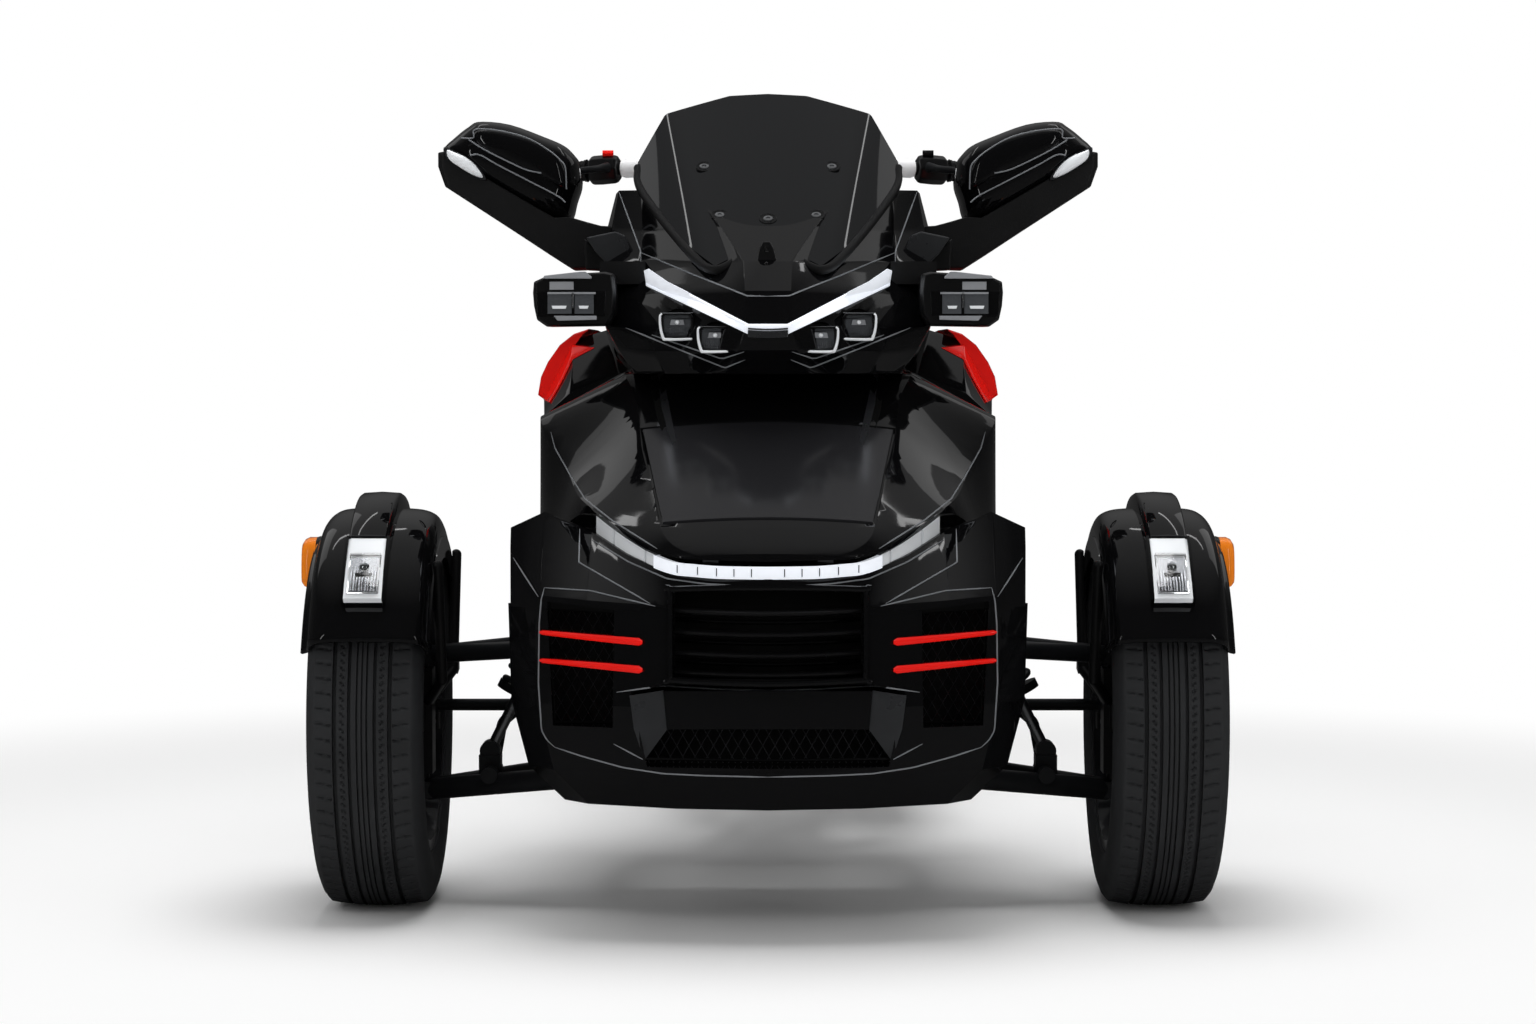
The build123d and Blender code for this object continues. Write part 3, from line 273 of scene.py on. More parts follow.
@dataclass(frozen=True)
class Finish:
    """A surface: what it is made of, its slot in the record, and the size of what breaks it up."""

    name: str
    slot: str
    colour: str
    roughness: float
    metallic: float = 0.0
    ior: float = 1.5
    coat: float = 0.0
    transmission: float = 0.0
    grain_mm: float = 1.0
    grain_depth_mm: float = 0.0
    mottle: float = 0.0
    glow: float = 0.0
    clouds_per_m: float = 18.0
    cloud_spread: Pair = (0.8, 1.25)

    def height(self, tree: Tree, coord: Socket) -> Socket:
        """The pattern of heights, here an even grain."""
        links = {"Vector": coord, "Scale": 1 / (self.grain_mm * MM), "Detail": 3.0}
        return add(tree, "ShaderNodeTexNoise", links).outputs["Fac"]

    def build(self) -> Material:
        """Makes the material, once.

        Returns:
            A node material whose roughness, colour and bump follow the fields.
        """
        if self.name in bpy.data.materials:
            return bpy.data.materials[self.name]
        mat = bpy.data.materials.new(self.name)
        mat.use_nodes = True
        tree = mat.node_tree
        shader = tree.nodes["Principled BSDF"]
        coord = add(tree, "ShaderNodeTexCoord").outputs["Object"]
        base = linear(self.colour)
        mat.diffuse_color = base
        shader.inputs["Base Color"].default_value = base
        shader.inputs["Metallic"].default_value = self.metallic
        shader.inputs["IOR"].default_value = self.ior
        shader.inputs["Coat Weight"].default_value = self.coat
        shader.inputs["Transmission Weight"].default_value = self.transmission
        shader.inputs["Roughness"].default_value = self.roughness
        if self.mottle:
            links = {"Vector": coord, "Scale": self.clouds_per_m, "Detail": 4.0}
            cloud = add(tree, "ShaderNodeTexNoise", links).outputs["Fac"]
            low = tuple(c * (1 - self.mottle) for c in base[:3]) + (1.0,)
            high = tuple(min(1.0, c * (1 + self.mottle)) for c in base[:3]) + (1.0,)
            mix = add(tree, "ShaderNodeMix", {0: cloud, 6: low, 7: high}, data_type="RGBA")
            tree.links.new(mix.outputs[2], shader.inputs["Base Color"])
            dull, duller = (min(1.0, self.roughness * share) for share in self.cloud_spread)
            spread = add(tree, "ShaderNodeMapRange", {0: cloud, 3: dull, 4: duller})
            tree.links.new(spread.outputs[0], shader.inputs["Roughness"])
        if self.grain_depth_mm:
            deep = self.grain_depth_mm * MM
            links = {"Strength": 1.0, "Distance": deep, "Height": self.height(tree, coord)}
            bump = add(tree, "ShaderNodeBump", links)
            tree.links.new(bump.outputs["Normal"], shader.inputs["Normal"])
        if self.glow:
            shader.inputs["Emission Color"].default_value = base
            shader.inputs["Emission Strength"].default_value = self.glow
        return mat


@dataclass(frozen=True)
class PebbledFinish(Finish):
    """A surface with a pebbled grain, such as embossed vinyl or a textured moulding."""

    def height(self, tree: Tree, coord: Socket) -> Socket:
        """Cells with soft tops, as wide as the grain."""
        cell = add(tree, "ShaderNodeTexVoronoi", {"Vector": coord, "Scale": 1 / (self.grain_mm * MM)})
        return cell.outputs["Distance"]


@dataclass(frozen=True)
class TurnedFinish(Finish):
    """Metal turned or ground about the wheel's axle, which leaves fine rings.

    The centre is the axle's place and height in the frame's metres. At the wave's scale of 1
    over the grain, times the share below, its rings stand two grains apart.
    """

    centre: Pair = (0.0, 0.0)
    wave_share: float = 0.16

    def height(self, tree: Tree, coord: Socket) -> Socket:
        """Rings about the axle, two grains apart, by a wave over the distance from it.

        Args:
            tree: the material's node tree.
            coord: the object coordinates.

        Returns:
            The socket with the heights.
        """
        shift = add(tree, "ShaderNodeMapping", {0: coord, 1: (0.0, -self.centre[0], -self.centre[1])})
        links = {0: shift.outputs[0], "Scale": self.wave_share / (self.grain_mm * MM), "Distortion": 0.4}
        rings = add(tree, "ShaderNodeTexWave", links, wave_type="RINGS", rings_direction="X")
        return rings.outputs["Fac"]


# Painted ABS: near black under clear lacquer, with the faint waviness of sprayed paint
LACQUER = Finish("lacquered_black_abs", "gloss_black", "#070708", 0.045, grain_mm=9, grain_depth_mm=0.006)
# The lid's lacquer, a little duller and coloured lighter than the rest: painted reflection, an even grey
# sheen on the lid; what stands over the lid shows in it with soft edges
LID_LACQUER_SHEEN = Finish("lacquered_lid_abs", "gloss_black", "#1f1f21", 0.16, grain_mm=9, grain_depth_mm=0.01)
# Textured polypropylene: dull, with a moulded pebble a millimetre and a half wide
MOULDING = PebbledFinish(
    "textured_black_polypropylene", "satin_black", "#131314", 0.52, grain_mm=1.6, grain_depth_mm=0.12,
    mottle=0.2,
)
# Satin moulded ABS of the lamp housings and switch boxes
HOUSING = Finish(
    "satin_black_abs", "satin_black", "#0d0d0e", 0.3, grain_mm=1.2, grain_depth_mm=0.02, mottle=0.15
)
# Powder-coated steel: a slight orange peel
POWDER = Finish(
    "powder_coated_steel", "frame_black", "#101011", 0.34, grain_mm=2.2, grain_depth_mm=0.05, mottle=0.15
)
# Cast aluminium: sand-cast skin, grey and dull
CASTING = Finish(
    "cast_aluminium", "engine_grey", "#66686c", 0.5, metallic=0.55, grain_mm=1.6, grain_depth_mm=0.18,
    mottle=0.15,
)
# Forged steel arms under black enamel, worn a little grey
FORGED = Finish(
    "enamelled_forged_steel", "arm_metal", "#1a1b1d", 0.36, metallic=0.35, grain_mm=3,
    grain_depth_mm=0.05, mottle=0.3,
)
# Red lacquer over ABS
RED = Finish(
    "lacquered_red_abs", "red_paint", "#f51a12", 0.12, coat=0.6, grain_mm=8, grain_depth_mm=0.005,
    mottle=0.05,
)
# Alloy wheel in dark grey metallic paint
WHEEL_PAINT = Finish(
    "painted_alloy", "alloy", "#26272a", 0.3, metallic=0.75, coat=0.4, grain_mm=0.9,
    grain_depth_mm=0.01, mottle=0.1,
)
# Zinc-plated nuts and rod ends
ZINC = Finish(
    "zinc_plated_steel", "chrome", "#b9bbbe", 0.28, metallic=1.0, grain_mm=1.5, grain_depth_mm=0.02,
    mottle=0.12,
)
# Chrome-plated plastic trims
CHROME = Finish("chrome_plate", "chrome", "#e4e6e8", 0.07, metallic=1.0, grain_mm=5, grain_depth_mm=0.003)
# Vulcanised rubber of the tyres, greyed by use
TREAD = Finish("tyre_rubber", "tyre", "#27282a", 0.62, grain_mm=1.4, grain_depth_mm=0.05, mottle=0.25)
# Silver paint, satin, on the pressed lamp cells and trims
SATIN = Finish(
    "satin_silver_paint", "chrome", "#8e9094", 0.38, grain_mm=1.0, grain_depth_mm=0.02, mottle=0.12
)
# Near-black sheets behind the meshes and in the gaps: painted shade, for the dark inside the openings and
# gaps
SHADE_BACKING = Finish("unlit_black_backing", "satin_black", "#040404", 0.9)
# Painted highlight: a bead of light grey metallic lacquer along the lacquered panels' arrises, standing for a
# fine bright line on the edge
HIGHLIGHT_ARRIS = Finish(
    "burnished_lacquer_arris", "gloss_black", "#8d9094", 0.3, metallic=0.35, grain_mm=6,
    grain_depth_mm=0.01,
)
# Expanded mesh in the bumper's openings, painted dark grey; its grey is set lighter than the mesh's own, as
# painted light where the lamps don't reach into the openings
WIRE_PAINTED_LIGHT = Finish("painted_mesh_wire", "satin_black", "#37383a", 0.4, metallic=0.4)
# Lacquer dulled to satin and coloured lighter than the rest, its grey broken into clouds: painted reflection,
# the grey sheen of the bumper facets beside the chin mesh, the hood's raised strips, the cowl tabs and the
# mirror roots
SATIN_SHEEN = Finish(
    "satin_lacquered_abs", "gloss_black", "#2b2c2e", 0.28, grain_mm=22, grain_depth_mm=0.6, mottle=0.35
)
# Smoked reflectors of the projectors and pod lamps, with pressed facets
DISH = PebbledFinish(
    "smoked_reflector", "chrome", "#63666a", 0.25, metallic=0.5, grain_mm=5, grain_depth_mm=0.5
)
# Rubber of the grips, the screen's band and the washers
RUBBER = Finish("black_rubber", "rubber", "#0f0f10", 0.6, grain_mm=1.0, grain_depth_mm=0.05, mottle=0.2)
# Clear polycarbonate lenses
LENS = Finish(
    "clear_polycarbonate", "clear_lens", "#ffffff", 0.02, ior=1.58, transmission=1.0, grain_mm=12,
    grain_depth_mm=0.01,
)
# Frosted light guides, unlit
GUIDE = Finish(
    "frosted_light_guide", "clear_lens", "#f2f5f8", 0.3, ior=1.49, coat=0.5, grain_mm=2.5,
    grain_depth_mm=0.05, mottle=0.05,
)
# The same guide where the photograph shows it lit
LIT = Finish(
    "lit_light_guide", "clear_lens", "#eaeef5", 0.3, ior=1.49, grain_mm=2.5, grain_depth_mm=0.05,
    glow=0.45,
)
# Amber acrylic of the side markers
AMBER = Finish(
    "amber_acrylic", "amber_lens", "#f5841c", 0.12, ior=1.49, coat=0.5, grain_mm=3,
    grain_depth_mm=0.05, mottle=0.12,
)
# Red acrylic of the tail lamp
RED_LENS = Finish(
    "red_acrylic", "red_lens", "#a80f10", 0.1, ior=1.49, coat=0.5, grain_mm=3, grain_depth_mm=0.05,
    mottle=0.1,
)
# Smoked polycarbonate windscreen
SMOKED = Finish("smoked_polycarbonate", "screen", "#08090b", 0.03, grain_mm=30, grain_depth_mm=0.01)
# Silvered glass of the mirrors
SILVERED = Finish(
    "silvered_glass", "mirror", "#dfe3e6", 0.015, metallic=1.0, grain_mm=40, grain_depth_mm=0.001
)
# Embossed vinyl seat cover, with a leather-like grain of about 2 mm
VINYL = PebbledFinish(
    "embossed_vinyl", "seat_cover", "#131315", 0.48, grain_mm=2.4, grain_depth_mm=0.16, mottle=0.15
)
# Brushed stainless steel of the exhaust and of plain reflectors
STAINLESS = Finish(
    "brushed_stainless", "exhaust_steel", "#8d8f93", 0.26, metallic=1.0, grain_mm=1.0,
    grain_depth_mm=0.02, mottle=0.1,
)
# White polypropylene of the bar's sleeves
WHITE = Finish(
    "white_polypropylene", "white_plastic", "#e9e9ea", 0.4, grain_mm=1.2, grain_depth_mm=0.03, mottle=0.04
)
# Ground steel of the brake discs, in rings about each axle
BRAKE_FRONT = TurnedFinish(
    "ground_disc_steel", "disc_steel", "#77797d", 0.24, metallic=1.0, grain_mm=1.2, grain_depth_mm=0.02,
    centre=(AXLE_Y * MM, TYRE_R * MM),
)
BRAKE_REAR = TurnedFinish(
    "ground_disc_steel_rear", "disc_steel", "#77797d", 0.24, metallic=1.0, grain_mm=1.2, grain_depth_mm=0.02,
    centre=((AXLE_Y + REAR_AXLE) * MM, REAR_TYRE_R * MM),
)

# The finish of each slot where the CAD node itself stays
CARRIED = (
    *(LACQUER, MOULDING, POWDER, CASTING, FORGED, RED, WHEEL_PAINT, BRAKE_FRONT, CHROME, TREAD),
    *(RUBBER, LENS, AMBER, RED_LENS, SMOKED, SILVERED, VINYL, STAINLESS, WHITE),
)
FINISH_OF_SLOT = {finish.slot: finish for finish in CARRIED}


# Pieces


def report(obj: Object) -> Object:
    """Logs a finished piece and hands it on."""
    log.info("%s: %d points", obj.name, len(obj.data.vertices))
    return obj


def make(
    name: str, points: Array, faces: list | Array, finish: Finish, body: Body, crease: float = 35.0
) -> Object:
    """Makes a piece from points and faces, dresses it and lets it ride on its body.

    Args:
        name: the piece's name.
        points: one point per line, in millimetres behind the front axle.
        faces: point numbers of each face.
        finish: its surface.
        body: the moving body that it belongs to.
        crease: edges sharper than this angle in degrees stay sharp.

    Returns:
        The new object.
    """
    points = place(np.asarray(points, float).reshape(-1, 3))
    mesh = bpy.data.meshes.new(name)
    faces = faces.tolist() if isinstance(faces, np.ndarray) else faces
    mesh.from_pydata(points.tolist(), [], faces)
    mesh.validate()
    bm = bmesh.new()
    bm.from_mesh(mesh)
    bmesh.ops.remove_doubles(bm, verts=bm.verts, dist=1e-6)
    bmesh.ops.recalc_face_normals(bm, faces=bm.faces)
    bm.to_mesh(mesh)
    bm.free()
    mesh.shade_smooth()
    mesh.set_sharp_from_angle(angle=math.radians(crease))
    mesh.materials.append(finish.build())
    obj = bpy.data.objects.new(name, mesh)
    bpy.context.scene.collection.objects.link(obj)
    return report(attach(obj, body.value))


def loft(
    name: str, sections: Array, finish: Finish, body: Body, crease: float = 35.0, caps: bool = True
) -> Object:
    """A skin over closed sections that all have as many points, with flat ends.

    Args:
        name: the piece's name.
        sections: points of shape (sections, points, 3).
        finish: its surface.
        body: the moving body that it belongs to.
        crease: edges sharper than this angle in degrees stay sharp.
        caps: closes the first and the last section.

    Returns:
        The new object.
    """
    sections = np.asarray(sections, float)
    rows, cols = sections.shape[:2]
    faces = grid_faces(rows, cols, wrap_cols=True).tolist()
    if caps:
        faces.append(list(range(cols)))
        faces.append([(rows - 1) * cols + k for k in reversed(range(cols))])
    return make(name, sections, faces, finish, body, crease)


def slab(name: str, outline: Array, depths: Pair, finish: Finish, body: Body) -> Object:
    """A flat plate: one upright outline, as (x, z), carried straight from one depth to the other."""
    return loft(name, np.stack([upright(outline, depth) for depth in depths]), finish, body)


def plate(name: str, front: Array, wall: float, finish: Finish) -> Object:
    """A plate on the body whose front is an outline in space, its back straight behind by the wall."""
    return loft(name, np.stack([front, front + (0.0, wall, 0.0)]), finish, ROOT)


def bevel(obj: Object, width: float, segments: int = 2, angle: float = 28.0) -> Object:
    """Rounds an object's sharp edges.

    Args:
        obj: the object.
        width: the rounding's width in millimetres.
        segments: flats across it.
        angle: only edges sharper than this, in degrees, are rounded.

    Returns:
        The same object.
    """
    mod = obj.modifiers.new("edge", "BEVEL")
    mod.width = width * MM
    mod.segments = segments
    mod.limit_method = "ANGLE"
    mod.angle_limit = math.radians(angle)
    mod.harden_normals = True
    return obj


def thicken(obj: Object, wall: float) -> Object:
    """Gives a sheet its wall behind its face.

    Args:
        obj: the sheet.
        wall: the wall in millimetres.

    Returns:
        The same object.
    """
    mod = obj.modifiers.new("wall", "SOLIDIFY")
    mod.thickness = wall * MM
    mod.offset = -1.0
    return obj


# Points closer than this are one, and faces that meet at less than this angle are one
MERGE_MM = 0.02
FLAT_DEG = 0.6


def eased_copy(node: str, finish: Finish, width: float, angle: float = 24.0) -> Object:
    """A merged copy of a CAD node with rounded edges, which stands for the node.

    Args:
        node: the CAD node.
        finish: its surface.
        width: the edge's width in millimetres.
        angle: only edges sharper than this, in degrees, are rounded.

    Returns:
        The copy.
    """
    source = frame["nodes"][node]
    mesh = source.data.copy()
    mesh.name = node + "_eased"
    bm = bmesh.new()
    bm.from_mesh(mesh)
    bmesh.ops.remove_doubles(bm, verts=bm.verts, dist=MERGE_MM * MM)
    bmesh.ops.dissolve_degenerate(bm, edges=bm.edges, dist=MERGE_MM * MM)
    bmesh.ops.dissolve_limit(bm, angle_limit=math.radians(FLAT_DEG), verts=bm.verts, edges=bm.edges)
    bm.to_mesh(mesh)
    bm.free()
    mesh.shade_smooth()
    mesh.set_sharp_from_angle(angle=math.radians(angle))
    mesh.materials.clear()
    mesh.materials.append(finish.build())
    obj = bpy.data.objects.new(node + "_eased", mesh)
    bpy.context.scene.collection.objects.link(obj)
    bevel(obj, width, angle=angle)
    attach(obj, source["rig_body"])
    return report(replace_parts(obj, node))


# The studio

WHITE_LIGHT = (1.0, 1.0, 1.0, 1.0)


@dataclass
class Studio:
    """Camera, floor, lamps and sky of a plain white studio, in the frame's metres.

    A lamp has its name, its place, the point it looks at, its width and height, its power in
    watts, and whether lacquer and metal show it.
    """

    eye: Triple = (0.0, (AXLE_Y - CAMERA_AHEAD) * MM, CAMERA_UP * MM)
    sensor_mm: float = 36.0
    pitch_deg: float = 2.36
    clip_end: float = 200.0
    floor_half: float = 30.0
    floor_colour: str = "#f6f6f6"
    floor_mirrored: str = "#5c5c5c"
    floor_fade: Pair = (1.3, 2.7)
    ceiling: Triple = (0.0, 0.5, 0.87)
    ceiling_edge: Pair = (0.6, 0.95)
    room_light: Pair = (0.04, 0.26)
    fill_light: float = 0.42
    middle_lamps: tuple = (
        ("top", (0.0, -0.3, 3.4), (0.0, -0.3, 0.4), (1.8, 3.2), 85.0, False),
        ("front", (0.0, -5.2, 3.2), (0.0, -0.6, 0.5), (2.4, 0.8), 16.0, False),
    )
    paired_lamps: tuple = (
        ("side_", (3.2, -1.8, 1.6), (0.0, 0.0, 0.5), (1.0, 2.4), 8.0, False),
        ("back_", (2.9, 1.9, 3.0), (0.2, -0.6, 0.6), (1.8, 1.8), 4.2, True),
        ("strip_", (2.4, -2.9, 1.4), (0.4, -0.8, 0.5), (0.1, 2.2), 5.0, True),
        ("bar_", (1.15, 0.75, 3.05), (0.8, 0.4, 0.5), (1.5, 0.08), 1.2, True),
    )

    def camera(self) -> None:
        """Sets the camera where the photograph was taken from, looking slightly down."""
        data = bpy.data.cameras.new("camera")
        data.sensor_width = self.sensor_mm
        data.lens = FOCAL_PX * self.sensor_mm / IMAGE_PX
        data.clip_end = self.clip_end
        cam = bpy.data.objects.new("camera", data)
        bpy.context.scene.collection.objects.link(cam)
        cam.location = self.eye
        cam.rotation_euler = (math.radians(90 - self.pitch_deg), 0.0, 0.0)
        bpy.context.scene.camera = cam

    def floor(self) -> None:
        """A pale floor that keeps the shadow near the machine and fades to white away from it; lacquer and
        metal see it darker, as painted shade.
        """
        half = self.floor_half
        mesh = bpy.data.meshes.new("floor")
        corners = [(-half, -half, 0.0), (half, -half, 0.0), (half, half, 0.0), (-half, half, 0.0)]
        mesh.from_pydata(corners, [], [(0, 1, 2, 3)])
        mat = bpy.data.materials.new("painted_studio_floor")
        mat.use_nodes = True
        tree = mat.node_tree
        tree.nodes.clear()
        coord = add(tree, "ShaderNodeTexCoord").outputs["Object"]
        far = add(tree, "ShaderNodeVectorMath", {0: coord}, operation="LENGTH").outputs["Value"]
        near, white_from = self.floor_fade
        links = {0: far, 1: near, 2: white_from}
        fade = add(tree, "ShaderNodeMapRange", links, interpolation_type="SMOOTHSTEP")
        ray = add(tree, "ShaderNodeLightPath").outputs
        links = {0: fade.outputs[0], 1: ray["Is Camera Ray"]}
        gate = add(tree, "ShaderNodeMath", links, operation="MULTIPLY")
        # Glossy rays see the floor in a darker grey: painted shade
        links = {0: ray["Is Glossy Ray"], 6: linear(self.floor_colour), 7: linear(self.floor_mirrored)}
        tone = add(tree, "ShaderNodeMix", links, data_type="RGBA")
        paint = add(tree, "ShaderNodeBsdfDiffuse", {"Color": tone.outputs[2]})
        white = add(tree, "ShaderNodeEmission", {"Color": WHITE_LIGHT, "Strength": 1.0})
        mix = add(tree, "ShaderNodeMixShader", {0: gate.outputs[0], 1: paint.outputs[0], 2: white.outputs[0]})
        add(tree, "ShaderNodeOutputMaterial", {"Surface": mix.outputs[0]})
        mesh.materials.append(mat)
        obj = bpy.data.objects.new("floor", mesh)
        bpy.context.scene.collection.objects.link(obj)

    def sky(self) -> None:
        """White to the camera, and a dim room with a lighter ceiling to lacquer and metal."""
        world = bpy.data.worlds.new("studio")
        bpy.context.scene.world = world
        world.use_nodes = True
        tree = world.node_tree
        tree.nodes.clear()
        ray = add(tree, "ShaderNodeLightPath").outputs
        coord = add(tree, "ShaderNodeTexCoord").outputs["Generated"]
        toward = add(tree, "ShaderNodeVectorMath", {0: coord, 1: self.ceiling}, operation="DOT_PRODUCT")
        (low, high), (dim, bright) = self.ceiling_edge, self.room_light
        links = {0: toward.outputs["Value"], 1: low, 2: high, 3: dim, 4: bright}
        rise = add(tree, "ShaderNodeMapRange", links).outputs[0]
        white, room, fill = (
            add(tree, "ShaderNodeBackground", {"Color": WHITE_LIGHT, "Strength": strength}).outputs[0]
            for strength in (1.0, rise, self.fill_light)
        )
        glossy = add(tree, "ShaderNodeMixShader", {0: ray["Is Glossy Ray"], 1: fill, 2: room})
        mix = add(tree, "ShaderNodeMixShader", {0: ray["Is Camera Ray"], 1: glossy.outputs[0], 2: white})
        add(tree, "ShaderNodeOutputWorld", {"Surface": mix.outputs[0]})

    def lamp(self, name: str, at: tuple, to: tuple, size: tuple, power: float, mirrored: bool) -> None:
        """One soft box.

        Args:
            name: its name.
            at: its place.
            to: the point it looks at.
            size: its width and height.
            power: its power in watts.
            mirrored: whether lacquer and metal show it.
        """
        data = bpy.data.lights.new(name, "AREA")
        data.shape = "RECTANGLE"
        data.size, data.size_y = size
        data.energy = power
        obj = bpy.data.objects.new(name, data)
        obj.location = Vector(at)
        obj.rotation_euler = Vector(np.subtract(to, at)).to_track_quat("-Z", "Y").to_euler()
        obj.visible_glossy = mirrored
        bpy.context.scene.collection.objects.link(obj)

    def lamps(self) -> None:
        """Soft fill that lacquer doesn't mirror, broad boxes behind, and thin strips for bright edges."""
        for row in self.middle_lamps:
            self.lamp(*row)
        for side in Side:
            for name, at, to, *rest in self.paired_lamps:
                self.lamp(name + side.word, mirror_x(at, side), mirror_x(to, side), *rest)

    def build(self) -> None:
        """Builds the studio."""
        self.camera()
        self.floor()
        self.sky()
        self.lamps()


@dataclass
class CarriedNodes:
    """CAD nodes whose form is right: they get their finish, and the panels softer edges.

    A panel has its node, its finish, the width of its softened edges in millimetres, and the
    angle in degrees past which an edge is softened.
    """

    panels: tuple = (
        ("front_fascia", LACQUER, 1.0, 7.0),
        ("nose_body", LACQUER, 2.0, 24.0),
        ("trunk_lid", LID_LACQUER_SHEEN, 1.2, 24.0),
        ("upper_fairing", LACQUER, 2.4, 24.0),
        ("side_panels", LACQUER, 3.0, 24.0),
        ("tank_cover", LACQUER, 3.0, 24.0),
        ("tail_body", LACQUER, 4.0, 24.0),
        ("side_accents", RED, 1.2, 24.0),
        ("dash", HOUSING, 2.0, 24.0),
        ("engine", CASTING, 2.5, 24.0),
    )

    def build(self) -> None:
        """Dresses every node, then eases the panels' edges."""
        for name, node in frame["nodes"].items():
            slots = node.data.materials
            for k, mat in enumerate(slots):
                finish = FINISH_OF_SLOT[mat.name.split(".")[0]]
                if "rear_disc" in name:
                    finish = BRAKE_REAR
                slots[k] = finish.build()
        for row in self.panels:
            eased_copy(*row)


def seen(points: tuple, behind: float, side: Side = Side.LEFT) -> Array:
    """Where the photograph's points lie on an upright plane, as (x, z) in millimetres.

    Each point is scaled about the horizon by its distance from the camera.

    Args:
        points: columns and rows in the 1536 by 1024 frame.
        behind: the plane's distance behind the front axle.
        side: the side to put them on; points of the photograph's left half are the left side's own.

    Returns:
        One (x, z) pair per point.
    """
    points = np.asarray(points, float)
    scale = FOCAL_PX / (CAMERA_AHEAD + behind)
    x = (points[:, 0] - MIDDLE_PX) / scale
    return np.column_stack([-side.value * x, CAMERA_UP - (points[:, 1] - HORIZON_PX) / scale])


class Skin:
    """A CAD node's surface as the camera meets it, for details taken from the photograph."""

    def __init__(self, node: str) -> None:
        """Prepares a CAD node's mesh for rays."""
        mesh = frame["nodes"][node].data
        self.tree = BVHTree.FromPolygons([v.co for v in mesh.vertices], [p.vertices for p in mesh.polygons])

    def meet(self, pixels: tuple, lift: float) -> Array:
        """Where the camera's rays through points of the photograph meet the surface.

        A ray that misses takes its depth from its neighbours; if all miss, they stop at the front axle.

        Args:
            pixels: columns and rows in the 1536 by 1024 frame.
            lift: distance toward the camera, in millimetres.

        Returns:
            Points in millimetres behind the front axle.
        """
        px = np.asarray(pixels, float)
        eye = Vector(Studio.eye)
        across, up = (px[:, 0] - MIDDLE_PX) / FOCAL_PX, (HORIZON_PX - px[:, 1]) / FOCAL_PX
        rays = np.column_stack([across, np.ones(len(px)), up])
        hits = [self.tree.ray_cast(eye, Vector(ray).normalized())[0] for ray in rays]
        far = np.array([np.nan if hit is None else (hit.y - eye.y) / MM for hit in hits])
        known = np.isfinite(far)
        if not known.any():
            far[:], known[:] = CAMERA_AHEAD, True
        order = np.arange(len(far))
        far = np.interp(order, order[known], far[known]) - lift
        return rays * far[:, None] + (0.0, -CAMERA_AHEAD, CAMERA_UP)


def dome(
    name: str,
    outline: Array,
    steps: tuple | list,
    finish: Finish,
    body: Body,
    crease: float = 50.0,
    caps: bool = True,
) -> Object:
    """A shell that changes from step to step between its full outline and a small front face.

    Args:
        name: the piece's name.
        outline: the full outline as (x, z).
        steps: pairs of distance behind the axle and scale about the outline's centre.
        finish: its surface.
        body: the moving body that it belongs to.
        crease: edges sharper than this angle in degrees stay sharp.
        caps: closes the first and the last step.

    Returns:
        The new object.
    """
    outline = np.asarray(outline, float)
    centre = outline.mean(axis=0)
    rings = [upright(centre + (outline - centre) * scale, behind) for behind, scale in steps]
    return loft(name, np.stack(rings), finish, body, crease, caps)


def tube(
    name: str, path: Array, radius: float | Array, finish: Finish, body: Body, sides: int = 16
) -> Object:
    """A closed bar along a path: rings of points, square to it, with flat ends."""
    return loft(name, tube_points(path, radius, sides), finish, body)


def lathe_y(name: str, centre: tuple, profile: tuple, finish: Finish, body: Body, sides: int) -> Object:
    """A turned piece whose axis points forward: the profile's radii times cosine and sine.

    Args:
        name: the piece's name.
        centre: (x, behind, z) that the profile is counted from.
        profile: pairs of offset behind and radius, from one end to the other.
        finish: its surface.
        body: the moving body that it belongs to.
        sides: points round it.

    Returns:
        The new object.
    """
    profile = np.asarray(profile, float)
    turn = np.linspace(0, 2 * np.pi, sides, endpoint=False)
    r, b = profile[:, 1][:, None], profile[:, 0][:, None]
    rings = np.stack([r * np.cos(turn), b + 0 * turn, r * np.sin(turn)], -1) + np.asarray(centre, float)
    return loft(name, rings, finish, body)


